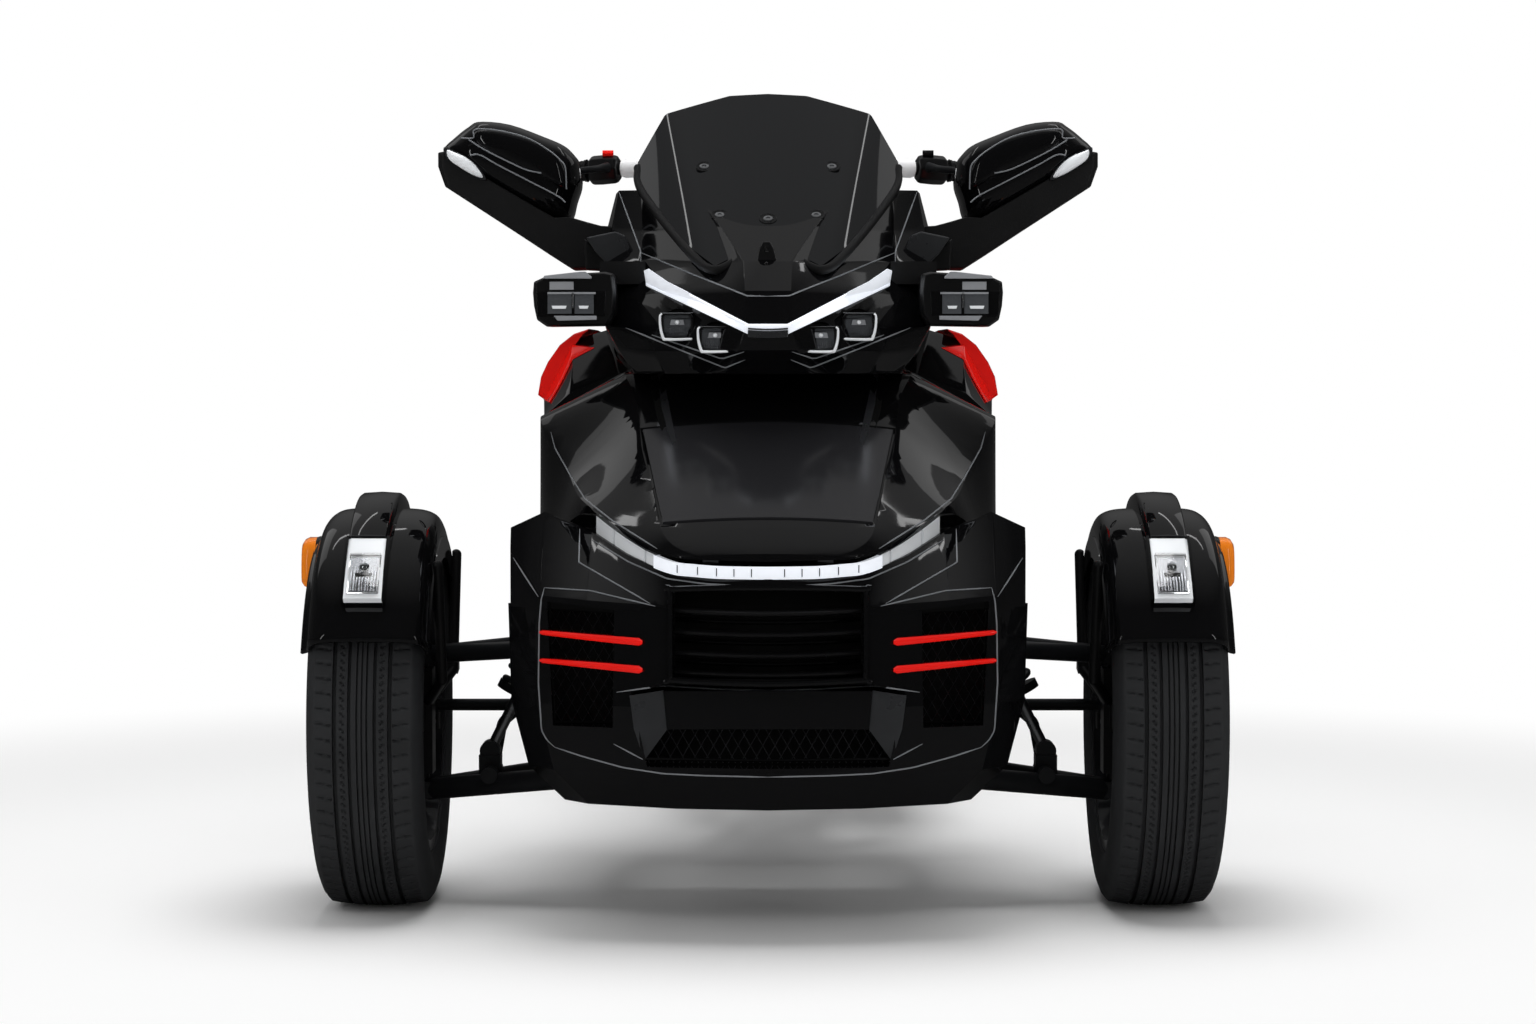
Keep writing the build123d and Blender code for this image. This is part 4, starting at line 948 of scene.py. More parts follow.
def lattice(
    name: str, outline: Array, behind: float, pitch: tuple, bar: float, finish: Finish, body: Body
) -> Object:
    """A diamond mesh of crossing bars cut to a convex outline.

    Both families of lines are clipped against each edge of the outline at once, and every
    kept line becomes a four-sided bar.

    Args:
        name: the piece's name.
        outline: the convex outline as (x, z), counted round counter-clockwise.
        behind: the mesh's distance behind the front axle.
        pitch: width and height of one diamond.
        bar: the bars' thickness.
        finish: its surface.
        body: the moving body that it belongs to.

    Returns:
        The new object.
    """
    outline = np.asarray(outline, float)
    low, high = outline.min(axis=0), outline.max(axis=0)
    wide, tall = pitch
    runs = []
    for lean in (1, -1):
        along = np.array([lean * wide, tall]) / math.hypot(wide, tall)
        reach = (high[1] - low[1]) * wide / tall
        foot_x = np.arange(low[0] - reach - wide, high[0] + reach + wide, wide)
        foot = np.column_stack([foot_x, np.full(len(foot_x), (low[1] + high[1]) / 2)])
        t0 = np.full(len(foot), -np.inf)
        t1 = np.full(len(foot), np.inf)
        for a, b in zip(outline, np.roll(outline, -1, axis=0)):
            inward = np.array([a[1] - b[1], b[0] - a[0]])
            slope = float(along @ inward)
            if abs(slope) < 1e-9:
                continue
            meet = ((a - foot) @ inward) / slope
            if slope > 0:
                t0 = np.maximum(t0, meet)
            else:
                t1 = np.minimum(t1, meet)
        keep = t1 - t0 > bar
        runs.append(np.stack([foot[keep] + along * t0[keep, None], foot[keep] + along * t1[keep, None]], 1))
    runs = np.concatenate(runs)
    side = runs[:, 1] - runs[:, 0]
    side = side[:, ::-1] * (1, -1) / np.linalg.norm(side, axis=1)[:, None] * bar / 2
    points = []
    for end in (0, 1):
        for sign, depth in ((1, 0.0), (0, -bar), (-1, 0.0), (0, bar)):
            spot = runs[:, end] + sign * side
            points.append(np.column_stack([spot[:, 0], np.full(len(spot), behind + depth), spot[:, 1]]))
    points = np.stack(points, 1)
    faces = np.array([(0, 1, 5, 4), (1, 2, 6, 5), (2, 3, 7, 6), (3, 0, 4, 7), (3, 2, 1, 0), (4, 5, 6, 7)])
    faces = (faces[None] + 8 * np.arange(len(points))[:, None, None]).reshape(-1, 4)
    return make(name, points, faces, finish, body, crease=30)


# Wheels


@dataclass(frozen=True)
class Cut:
    """Slots across part of the tread: their reach, count, lean, width as a share, and depth."""

    low: float
    high: float
    per_pitch: int
    start: float
    lean: float
    share: float
    depth: float


@dataclass
class RoadTyre:
    """A road tyre with straight grooves, two serrated ribs and cut shoulders.

    Places across the tread are those of a tyre of the design width, and grow with the real one.
    """

    node: str
    body: Body
    centre: Triple
    radius: float = TYRE_R
    width: float = 165.0
    design_width: float = 165.0
    pitches: int = 80
    steps: int = 8
    seat_r: float = 190.0
    crown_half: float = 68.5
    crown_drop: float = 5.5
    crown_power: float = 2.4
    marks: tuple = (22.0, 24.0, 26.5, 29.0, 32.0, 34.0, 43.0, 45.0, 50.0, 56.0, 62.0, 67.0, 68.5)
    groove_depth: float = 6.5
    groove_edge: Pair = (0.4, 0.5)
    grooves: tuple = ((39.0, 2.6, 1.0), (18.0, 2.0, 0.9), (7.0, 0.9, 0.6), (0.0, 0.8, 0.5))
    sipes: Cut = Cut(44.0, 67.0, 1, 0.0, 0.012, 0.13, 3.2)
    teeth: Cut = Cut(24.0, 32.0, 2, 24.0, 0.11, 0.26, 3.6)
    flank_x: tuple = (71.5, 76.0, 80.3, 82.4, 82.5, 80.4, 76.5, 75.0, 66.0, 65.8)
    flank_share: tuple = (0.905, 0.84, 0.72, 0.6, 0.45, 0.3, 0.2, 0.17, 0.13, 0.003)

    def columns(self) -> Array:
        """Places across the tread where a groove's wall starts or ends, on both sides.

        Returns:
            The places in order, for a tyre of the design width.
        """
        outside, inside = self.groove_edge
        marks = list(self.marks)
        for middle, half, _ in self.grooves:
            marks += [middle - half - outside, middle - half + inside]
            marks += [middle + half - inside, middle + half + outside]
        marks = np.unique(np.abs(np.round(marks, 3)))
        return np.concatenate([-marks[::-1], marks])

    def pattern(self, x: Array, turn: Array) -> Array:
        """Depth of the tread pattern: a box for each groove, and a saw wave cut off at a share for the slots.

        Args:
            x: places across the tread.
            turn: angles round the tyre.

        Returns:
            Depths as a grid, one row per angle.
        """
        across = np.abs(x)
        depth = np.zeros((len(turn), len(x)))
        for middle, half, share in self.grooves:
            depth[:, np.abs(across - middle) < half] = self.groove_depth * share
        phase = (turn * self.pitches / (2 * np.pi))[:, None]
        for cut in (self.sipes, self.teeth):
            wave = (cut.per_pitch * phase + cut.lean * (across - cut.start)[None]) % 1.0
            reach = (across > cut.low) & (across < cut.high)
            depth[reach[None] & (wave < cut.share)] = cut.depth
        return depth

    def build(self) -> None:
        """Carries the section round the axle: crown less pattern in the middle, a flank on each side."""
        x = self.columns()
        count = self.pitches * self.steps
        turn = np.arange(count) * 2 * np.pi / count
        crown = self.radius - self.crown_drop * (np.abs(x) / self.crown_half) ** self.crown_power
        flank_x = np.array(self.flank_x)
        flank_r = self.seat_r + (self.radius - self.seat_r) * np.array(self.flank_share)
        left = np.broadcast_to(flank_r[::-1], (count, len(flank_r)))
        right = np.broadcast_to(flank_r, (count, len(flank_r)))
        radii = np.concatenate([left, crown[None] - self.pattern(x, turn), right], 1)
        across = np.concatenate([-flank_x[::-1], x, flank_x]) * (self.width / self.design_width)
        y = self.centre[1] - radii * np.sin(turn)[:, None]
        z = self.centre[2] + radii * np.cos(turn)[:, None]
        points = np.stack([np.broadcast_to(across, y.shape) + self.centre[0], y, z], -1)
        faces = grid_faces(*points.shape[:2], wrap_rows=True, wrap_cols=True)
        tyre = make(self.node + "_tread", points, faces, TREAD, self.body, crease=38)
        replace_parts(tyre, self.node)


@dataclass
class Mudguard:
    """A front mudguard on its steered upright: shell, skirt, ridge, lamp and amber marker.

    A place is an offset from the tyre's middle, positive away from the body, a distance from
    the axle, and an angle in degrees ahead of the tyre's top.
    """

    side: Side
    radius: float = 299.0
    ahead: float = 65.0
    behind: float = 80.0
    section: tuple = (
        (-90, -40), (-89, -28), (-86, -14), (-78, -2), (-60, 5), (-30, 7.4), (0, 8),
        (30, 7.4), (54, 5), (68, -2), (76.5, -12), (80, -22), (81.5, -33), (91, -40),
    )
    wall: float = 4.0
    lip: float = 1.6
    lip_run: float = 1.2
    skirt_section: tuple = ((-92, -34), (-92, -66), (-89.5, -66), (-89.5, -34))
    skirt_short: float = 4.0
    ridge: float = 27.0
    ridge_foot: float = 3.0
    ridge_start: float = -44.0
    ridge_rise: Triple = (26.0, 0.12, 0.7)
    ridge_half: tuple = ((-44, 33), (0, 31), (34, 29))
    ridge_section: tuple = (
        (-1.12, 0.0), (-1.04, 0.45), (-0.94, 0.9), (-0.82, 1.0), (0, 1.06),
        (0.82, 1.0), (0.94, 0.9), (1.04, 0.45), (1.12, 0.0),
    )
    lamp: Pair = (34.0, 54.4)
    cheek: tuple = ((31, 0), (31, 1), (27, 1), (27, 0))
    cheek_sink: float = 6.0
    tray: tuple = ((-27, -12), (-27, -1.5), (-24, 0), (24, 0), (27, -1.5), (27, -12))
    bezel: tuple = ((-22.5, 22.5), (40.6, 53.2))
    bezel_wide: float = 2.6
    reflector: tuple = ((-19.5, 19.5), (41.4, 52.6))
    flutes: Triple = (0.9, 4.2, 47.5)
    bulb: tuple = ((0, 7.5), (-3, 7.2), (-6, 5.6), (-8, 3), (-8.8, 0.3))
    bulb_at: float = 45.0
    sill: tuple = ((-12, 12), (47.0, 47.7))
    lens: tuple = ((-22, 0), (-22, 1.2), (22, 1.2), (22, 0))
    lens_turn: Pair = (40.8, 53.0)
    marker_outline: tuple = (
        (-34, 476), (-36, 500), (-30, 530), (-14, 543), (14, 543),
        (30, 530), (36, 500), (34, 476), (20, 470), (-20, 470),
    )
    marker_steps: tuple = ((93, 1.0), (106, 1.0), (112, 0.93), (116, 0.78), (117, 0.5))
    marker_foot_steps: tuple = ((70, 0.86), (78, 0.9), (91, 1.03), (95, 1.0))

    @property
    def body(self) -> Body:
        """The upright that carries the mudguard."""
        return Body["KNUCKLE_" + self.side.name]

    @property
    def top(self) -> float:
        """The ridge's distance from the axle."""
        return self.radius + self.ridge_foot + self.ridge

    def polar(self, x: Array, r: Array, degrees: Array) -> Array:
        """Points on circles round the axle, from arrays that broadcast together.

        Args:
            x: offsets across.
            r: distances from the axle.
            degrees: angles ahead of the top.

        Returns:
            The points in millimetres, on the mudguard's side.
        """
        angle = np.radians(degrees)
        points = np.broadcast_arrays(x + TRACK_HALF, -r * np.sin(angle), r * np.cos(angle) + TYRE_R)
        return mirror_x(np.stack(points, -1), self.side)

    def rail(self, name: str, section: tuple, foot: float, turn: Array, finish: Finish) -> Object:
        """One section carried round the tyre.

        Args:
            name: the piece's name.
            section: pairs of offset across and height over the foot.
            foot: the foot's distance from the axle.
            turn: the angles that it passes.
            finish: its surface.

        Returns:
            The new object.
        """
        section = np.array(section, float)
        points = self.polar(section[:, 0], foot + section[:, 1], turn[:, None])
        return loft(name + self.side.word, points, finish, self.body)

    def shell(self) -> None:
        """The shell: one section carried round the tyre, with a lip at both ends that dies away."""
        section = smooth_line(self.section, 49)
        turn = np.linspace(-self.behind, self.ahead, 60)
        lip = self.lip * np.exp(-np.minimum(turn + self.behind, self.ahead - turn) / self.lip_run)
        r = self.radius + section[None, :, 1] + lip[:, None]
        points = self.polar(section[None, :, 0], r, turn[:, None])
        sheet = make("mudguard_shell_" + self.side.word, points, grid_faces(60, 49), LACQUER, self.body, 60)
        if self.faces_in(sheet):
            sheet.data.flip_normals()
        thicken(sheet, self.wall)
        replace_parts(sheet, "mudguard_" + self.side.word)

    def skirt(self) -> None:
        """The inner skirt, which closes the side toward the body down to below the rim's edge."""
        turn = np.linspace(-self.behind, self.ahead - self.skirt_short, 40)
        self.rail("mudguard_skirt_", self.skirt_section, self.radius, turn, LACQUER)

    def faces_in(self, obj: Object) -> bool:
        """Whether a sheet's middle face looks at the axle rather than away from it.

        Args:
            obj: the sheet.

        Returns:
            True where its faces need a flip.
        """
        face = obj.data.polygons[len(obj.data.polygons) // 2]
        out = face.center - Vector(place([(TRACK_HALF * self.side.value, 0.0, TYRE_R)])[0])
        return out.dot(face.normal) < 0

    def spine(self) -> None:
        """The raised ridge over the crown, which rises by a power curve and ends at the lamp."""
        run, low, power = self.ridge_rise
        turn = np.linspace(self.ridge_start, self.lamp[0] - 0.5, 36)
        tall = self.ridge * np.clip((turn - self.ridge_start) / run, low, 1.0) ** power
        half = np.interp(turn, *np.transpose(self.ridge_half))
        cols = np.array(self.ridge_section)
        r = self.radius + self.ridge_foot + tall[:, None] * cols[None, :, 1]
        points = self.polar(half[:, None] * cols[None, :, 0], r, turn[:, None])
        loft("mudguard_ridge_" + self.side.word, points, LACQUER, self.body, crease=40)

    def lamp_box(self) -> None:
        """The lamp's box at the ridge's end: two cheeks that sink forward, and a frosted tray."""
        low, high = self.lamp
        cheek = np.array(self.cheek)
        turn = np.linspace(low - 0.5, high, 14)
        tall = self.ridge + 1 - np.interp(turn, (low, high), (0, self.cheek_sink))
        r = self.radius + 2 + tall[:, None] * cheek[None, :, 1]
        for sign, end in ((-1, "outer"), (1, "inner")):
            points = self.polar(sign * cheek[None, :, 0], r, turn[:, None])
            loft(f"mudguard_cheek_{end}_{self.side.word}", points, LACQUER, self.body)
        tray = self.rail("mudguard_tray_", self.tray, self.top - 3, np.linspace(low, high, 12), GUIDE)
        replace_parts(tray, "mudguard_lamp_" + self.side.word)

    def lamp_unit(self) -> None:
        """What lies on the tray: a chromed bezel, a fluted reflector, a bulb, its sill and the lens."""
        word, top = self.side.word, self.top
        self.bright_frame(f"mudguard_bezel_{word}", *self.bezel, self.bezel_wide, top - 2.5)
        (x0, x1), (low, high) = self.reflector
        deep, pitch, above = self.flutes
        across = np.linspace(x0, x1, 61)
        rows = np.linspace(low, high, 9)[:, None]
        flute = deep * np.abs(np.sin(across * np.pi / pitch)) * (rows > above)
        shape = self.polar(across + 0 * rows, top - 2.6 + flute, rows)
        make(f"mudguard_reflector_{word}", shape, grid_faces(9, 61), STAINLESS, self.body, 60)
        spot = self.polar(np.array([0.0]), np.array([top - 2.0]), np.array([self.bulb_at]))[0]
        lathe_y(f"mudguard_bulb_{word}", tuple(spot), self.bulb, SILVERED, self.body, 32)
        across, turn = self.sill
        sill = self.polar(np.array([across] * 2), np.full((2, 2), top - 1.0), np.transpose([turn] * 2))
        thicken(make(f"mudguard_sill_{word}", sill, [(0, 1, 3, 2)], HOUSING, self.body), 1.0)
        self.rail("mudguard_lens_", self.lens, top + 1.5, np.linspace(*self.lens_turn, 12), LENS)

    def bright_frame(self, name: str, x: tuple, turn: tuple, wide: float, r: float) -> None:
        """A four-sided bright frame bent round the tyre.

        Args:
            name: the piece's name.
            x: its ends across.
            turn: its ends in degrees.
            wide: the width of each side.
            r: its distance from the axle.
        """
        (x0, x1), (t0, t1) = x, turn
        deg = math.degrees(wide / r)
        outer = [(x0, t0), (x1, t0), (x1, t1), (x0, t1)]
        inner = [(x0 + wide, t0 + deg), (x1 - wide, t0 + deg), (x1 - wide, t1 - deg), (x0 + wide, t1 - deg)]
        rings = [(outer, r - 6), (outer, r + 1.5), (inner, r + 0.5), (inner, r - 6)]
        points = [self.polar(*np.transpose([(x, far, t) for x, t in ring])) for ring, far in rings]
        faces = grid_faces(4, 4, wrap_rows=True, wrap_cols=True)
        bevel(make(name, np.stack(points), faces, CHROME, self.body), 0.8)

    def lozenge(self, name: str, steps: tuple, finish: Finish) -> Object:
        """The marker's outline carried outwards and scaled about its centre.

        Args:
            name: the piece's name.
            steps: pairs of offset across and scale.
            finish: its surface.

        Returns:
            The new object.
        """
        outline = smooth_ring(self.marker_outline, 40)
        centre = outline.mean(axis=0)
        rings = [
            np.column_stack([np.full(40, TRACK_HALF + out), centre + (outline - centre) * scale])
            for out, scale in steps
        ]
        return loft(name + self.side.word, mirror_x(np.stack(rings), self.side), finish, self.body, 40)

    def marker(self) -> None:
        """The amber marker on the outer wall, a rounded lozenge on a black foot."""
        lens = self.lozenge("mudguard_marker_", self.marker_steps, AMBER)
        self.lozenge("mudguard_marker_foot_", self.marker_foot_steps, HOUSING)
        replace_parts(lens, "side_marker_" + self.side.word)

    def build(self) -> None:
        """Builds one mudguard."""
        self.shell()
        self.skirt()
        self.spine()
        self.lamp_box()
        self.lamp_unit()
        self.marker()


@dataclass
class CoilOver:
    """A damper with its spring: tube, rod, two eyes, spring seats and the coil.

    The spring's ends and its seats are shares of the way from the foot to the head, and the
    pin is the direction of both eyes.
    """

    name: str
    node: str
    foot: Triple
    head: Triple
    coil_r: float = 28.0
    wire: float = 5.0
    turns: float = 8.0
    spring: Pair = (0.32, 0.9)
    sides: tuple = (Side.RIGHT, Side.LEFT)
    pin: Triple = (0.0, 1.0, 0.0)
    tube_r: float = 17.0
    rod_r: float = 8.0
    eye_r: float = 15.0
    eye_half: float = 17.0
    seat_half: float = 0.02

    def coil(self, foot: Array, head: Array) -> Array:
        """The spring's centre line, a helix about the line from foot to head.

        Args:
            foot: the damper's lower eye.
            head: its upper eye.

        Returns:
            Points along the wire.
        """
        start, stop = self.spring
        t = np.linspace(start + 0.03, stop - 0.03, int(self.turns * 20))
        turn = (t - t[0]) / (t[-1] - t[0]) * self.turns * 2 * np.pi
        axis = (head - foot) / np.linalg.norm(head - foot)
        across = np.cross(axis, self.pin)
        across /= np.linalg.norm(across)
        up = np.cross(axis, across)
        ring = np.cos(turn)[:, None] * across + np.sin(turn)[:, None] * up
        return foot + (head - foot) * t[:, None] + self.coil_r * ring

    def build(self) -> None:
        """Builds the damper for each side; the first one stands for the CAD node."""
        for side in self.sides:
            foot, head = mirror_x(self.foot, side), mirror_x(self.head, side)
            tag = f"{self.name}_{side.word}" if len(self.sides) > 1 else self.name
            line = foot + (head - foot) * np.linspace(0, 1, 9)[:, None]
            body = tube(tag + "_tube", line[3:], self.tube_r, HOUSING, ROOT, 28)
            tube(tag + "_rod", line[:5], self.rod_r, ZINC, ROOT, 20)
            for k, t in enumerate(self.spring):
                spot = foot + (head - foot) * np.array([[t - self.seat_half], [t + self.seat_half]])
                tube(f"{tag}_seat_{k}", spot, self.coil_r + self.wire + 1, HOUSING, ROOT, 28)
            for k, spot in enumerate((foot, head)):
                eye = spot + np.array(self.pin) * [[-self.eye_half], [self.eye_half]]
                tube(f"{tag}_eye_{k}", eye, self.eye_r, FORGED, ROOT, 24)
            tube(tag + "_spring", self.coil(foot, head), self.wire, FORGED, ROOT, 10)
            if side is self.sides[0]:
                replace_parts(body, self.node)


# The front of the body

# Height, then places across and how far behind the axle the bumper's skin lies at each of them
BUMPER_ROWS = (
    (188.0, (0.0, 128.0, 250.0, 286.0), (-405.0, -385.0, -330.0, -280.0)),
    (238.0, (0.0, 150.0, 297.0, 336.0), (-430.0, -408.0, -350.0, -292.0)),
    (330.0, (0.0, 155.0, 321.0, 360.0), (-428.0, -408.0, -345.0, -292.0)),
    (466.0, (0.0, 155.0, 317.0, 364.0), (-418.0, -397.0, -345.0, -292.0)),
)


def bumper_skin(x: Array, z: Array) -> Array:
    """The bumper's skin, read between its rows along straight lines, across and then upward.

    Args:
        x: places across.
        z: heights, which broadcast with them.

    Returns:
        How far behind the axle the skin lies.
    """
    x, z = np.broadcast_arrays(np.abs(np.asarray(x, float)), np.asarray(z, float))
    rows = np.stack([np.interp(x, xs, bs) for _, xs, bs in BUMPER_ROWS])
    height = np.array([row[0] for row in BUMPER_ROWS])
    k = np.clip(np.searchsorted(height, z) - 1, 0, len(height) - 2)
    t = np.clip((z - height[k]) / (height[k + 1] - height[k]), 0, 1)
    low = np.take_along_axis(rows, k[None], 0)[0]
    high = np.take_along_axis(rows, k[None] + 1, 0)[0]
    return low + (high - low) * t


@dataclass
class Bumper:
    """What is set into the bumper: louvres, diamond meshes, red blades and trim lines.

    Outlines are pairs of place across and height, and depths are counted behind the front axle.
    """

    louvres: tuple = (376.0, 403.0, 432.0, 461.0)
    louvre_front: float = -399.0
    louvre_bow: Pair = (26.0, 2.2)
    louvre_half: Pair = (12.0, 4.6)
    louvre_sag: float = 3.0
    blind_off: Pair = (34.0, -14.0)
    blind_grow: float = 8.0
    mouth_half: float = 129.0
    mouth_frame: tuple = (
        (-131, 368), (0, 364), (131, 368), (134, 376), (134, 484),
        (128, 492), (0, 495), (-128, 492), (-134, 484), (-134, 376),
    )
    mouth_frame_r: float = 4.5
    mouth_back: tuple = ((-129, 371), (129, 371), (129, 491), (-129, 491))
    chin_mesh: tuple = ((-167, 250), (167, 250), (139, 298), (-139, 298))
    chin_back: tuple = ((-180, 248), (180, 248), (150, 300), (-150, 300))
    chin_plate: tuple = ((-139, 298), (139, 298), (144, 352), (-144, 352))
    chin_bar: tuple = ((-172, -392, 258), (0, -398, 256), (172, -392, 258))
    chin_facet: tuple = (
        (144, -390, 352), (190, -404, 346), (184, -404, 300), (170, -396, 256), (139, -390, 298),
    )
    side_mesh: tuple = ((215, 302), (297, 302), (304, 458), (214, 452))
    blades: tuple = ((419.0, 429.0), (381.0, 390.0))
    blade_reach: Pair = (172.0, 317.0)
    blade_knee: Pair = (236.0, 4.0)
    blade_swell: tuple = ((172, 1.25), (230, 1.1), (317, 0.75))
    blade_section: tuple = ((-6, -1.2), (-6, 1.6), (-3, 4.4), (9, 4.6), (9, -4.4), (-3, -4.2))

    def louvre_bars(self) -> None:
        """Bowed bars of an oval section carried across the mouth, each with its dark back."""
        x = np.linspace(-self.mouth_half, self.mouth_half, 41)
        bow, power = self.louvre_bow
        deep, tall = self.louvre_half
        bow = bow * (np.abs(x) / self.mouth_half) ** power
        turn = np.linspace(0, 2 * np.pi, 18, endpoint=False)
        for k, z in enumerate(self.louvres):
            b = self.louvre_front + bow[:, None] - deep * np.cos(turn)[None]
            sag = self.louvre_sag * np.cos(np.pi * x / 2 / self.mouth_half)
            h = z - sag[:, None] + tall * np.sin(turn)[None]
            xs = np.broadcast_to(x[:, None], b.shape)
            bar = loft(f"louvre_{k}", np.stack([xs, b, h], -1), HOUSING, ROOT)
            if k == 0:
                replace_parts(bar, "grilles")
            back = b + self.blind_off[0] + self.blind_grow * np.cos(turn)
            drop = h + self.blind_off[1] - self.blind_grow * np.sin(turn)
            loft(f"louvre_back_{k}", np.stack([xs, back, drop], -1), LACQUER, ROOT)

    def mouth_rim(self) -> None:
        """The rounded frame round the louvres, a closed tube that follows the bumper's skin."""
        outline = smooth_ring(self.mouth_frame, 64)
        path = upright(outline, bumper_skin(outline[:, 0], outline[:, 1]) - 1.0)
        loop = np.vstack([path[-1:], path, path[:1]])
        rings = tube_points(loop, self.mouth_frame_r, 8, np.array([0.0, 1.0, 0.0]))[1:-1]
        faces = grid_faces(*rings.shape[:2], wrap_rows=True, wrap_cols=True)
        make("louvre_frame", rings, faces, LACQUER, ROOT)

    def meshes(self) -> None:
        """Diamond meshes with their near-black backs, painted shade, in the chin and in both side intakes."""
        lattice("chin_mesh", self.chin_mesh, -372.0, (17.0, 30.0), 1.5, WIRE_PAINTED_LIGHT, ROOT)
        slab("chin_mesh_back", self.chin_back, (-350.0, -347.0), SHADE_BACKING, ROOT)
        bevel(slab("chin_plate", self.chin_plate, (-392.0, -388.0), LACQUER, ROOT), 1.0)
        tube("chin_bar", np.array(self.chin_bar), 2.2, LACQUER, ROOT)
        slab("mouth_back", self.mouth_back, (-340.0, -335.0), SHADE_BACKING, ROOT)
        # The facets beside the chin are in lighter lacquer: painted reflection
        for side in Side:
            plate("chin_facet_" + side.word, mirror_x(self.chin_facet, side), 4.0, SATIN_SHEEN)
        for side in Side:
            corners = self.side_mesh if side is Side.RIGHT else self.side_mesh[::-1]
            outline = np.multiply(corners, (side.value, 1))
            lattice("side_mesh_" + side.word, outline, -312.0, (15.0, 26.0), 1.0, WIRE_PAINTED_LIGHT, ROOT)
            slab("side_mesh_back_" + side.word, outline, (-306.0, -303.0), SHADE_BACKING, ROOT)

    def blade_bars(self) -> None:
        """Red blades: a flat-topped section that swells in the middle and tapers at both ends."""
        start, stop = self.blade_reach
        x = np.linspace(start, stop, 30)
        swell = np.clip(np.minimum((x - start + 1) / 5, (stop + 1 - x) / 3), 0.25, 1.0) ** 0.6
        swell = swell * np.interp(x, *np.transpose(self.blade_swell))
        section = np.array(self.blade_section)
        knee, lift = self.blade_knee
        for k, (inner, outer) in enumerate(self.blades):
            z = np.interp(x, (start, knee, stop), (inner, inner + lift, outer))
            b = bumper_skin(x, z)[:, None] + section[None, :, 0]
            h = z[:, None] + section[None, :, 1] * swell[:, None]
            points = np.stack([np.broadcast_to(x[:, None], b.shape), b, h], -1)
            for side in Side:
                blade = loft(f"red_blade_{k}_{side.word}", mirror_x(points, side), RED, ROOT)
                bevel(blade, 0.8)
                if k == 0 and side is Side.RIGHT:
                    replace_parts(blade, "red_blades")

    def build(self) -> None:
        """Builds the pieces in the bumper."""
        self.louvre_bars()
        self.mouth_rim()
        self.meshes()
        self.blade_bars()


@dataclass
class LightStrip:
    """The lamp strip under the hood: a lit guide in the middle and three frosted cells at each end.

    The crest is the hood's front edge seen from above, as place across and distance behind the
    front axle. The strip's foot rises with that distance by the slope.
    """

    crest: tuple = (
        (0, -391), (36, -390), (70, -388), (104, -381), (131, -373),
        (160, -347), (193, -306), (222, -262), (248, -217),
    )
    crest_front: float = -392.0
    slope: float = 0.3327
    foot_z: float = 504.0
    tall: float = 18.5
    deep: float = 9.0
    nose: Pair = (1.5, 0.8)
    flare: tuple = ((0, 170, 248), (0.0, 0.0, 6.0))
    guide: Pair = (0, 158.0)
    cells: tuple = ((159, 171), (172.5, 218), (219.5, 246))
    ribs: tuple = (22, 46, 70, 96, 124)
    rib_wide: float = 1.4
    stop: tuple = ((214, 516), (262, 528), (262, 566), (214, 562))
    stop_depths: Pair = (-196, -150)

    def band(self, name: str, span: tuple, push: float, inset: float, finish: Finish, side: Side) -> Object:
        """A stretch of the strip: its section carried square to the hood's edge.

        Args:
            name: the piece's name.
            span: its ends across.
            push: how far it lies behind the strip's face.
            inset: how far it stays inside the strip's foot and head.
            finish: its surface.
            side: the side it is on.

        Returns:
            The new object.
        """
        x0, x1 = span
        whole = smooth_line(self.crest, 240)
        spots = np.linspace(x0, x1, 3 + int((x1 - x0) / 4))
        line = np.column_stack([spots, np.interp(spots, whole[:, 0], whole[:, 1])])
        ahead = np.gradient(line, axis=0)
        ahead /= np.linalg.norm(ahead, axis=1)[:, None]
        out = np.column_stack([ahead[:, 1], -ahead[:, 0]])
        low = self.foot_z + (line[:, 1] - self.crest_front) * self.slope
        foot, head = inset, self.tall - inset
        nose, drop = self.nose
        front = [(0, foot), (nose, foot - drop), (nose, head + drop), (0, head)]
        section = np.array([*front, (-self.deep, head), (-self.deep, foot)])
        upper = np.where(section[:, 1] > self.tall / 2, 1.0, -1.0)
        flare = np.interp(line[:, 0], *self.flare)[:, None] * upper
        offset = section[:, 0] - push
        x = line[:, 0][:, None] + out[:, 0][:, None] * offset
        b = line[:, 1][:, None] + out[:, 1][:, None] * offset
        z = low[:, None] + section[None, :, 1] + flare
        return loft(name + side.word, mirror_x(np.stack([x, b, z], -1), side), finish, ROOT)

    def build(self) -> None:
        """Builds both halves of the strip; the first guide stands for the CAD node."""
        for side in Side:
            guide = self.band("strip_guide_", self.guide, 1.0, 1.2, LIT, side)
            if side is Side.RIGHT:
                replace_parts(guide, "nose_light_strip")
            for k, (a, b) in enumerate(self.cells):
                self.band(f"strip_cell_{k}_", (a, b), 4.0, 1.0, GUIDE, side)
                self.band(f"strip_glow_{k}_", (a + 1, b - 1), 3.0, 4.0, GUIDE, side)
            # The stop beyond each end of the strip is a near-black slab: painted shade
            stop = np.multiply(self.stop, (side.value, 1))
            slab("strip_stop_" + side.word, stop, self.stop_depths, SHADE_BACKING, ROOT)
            for k, x in enumerate(self.ribs):
                self.band(f"strip_rib_{k}_", (x, x + self.rib_wide), 0.2, 4.5, CHROME, side)


# The upper fairing


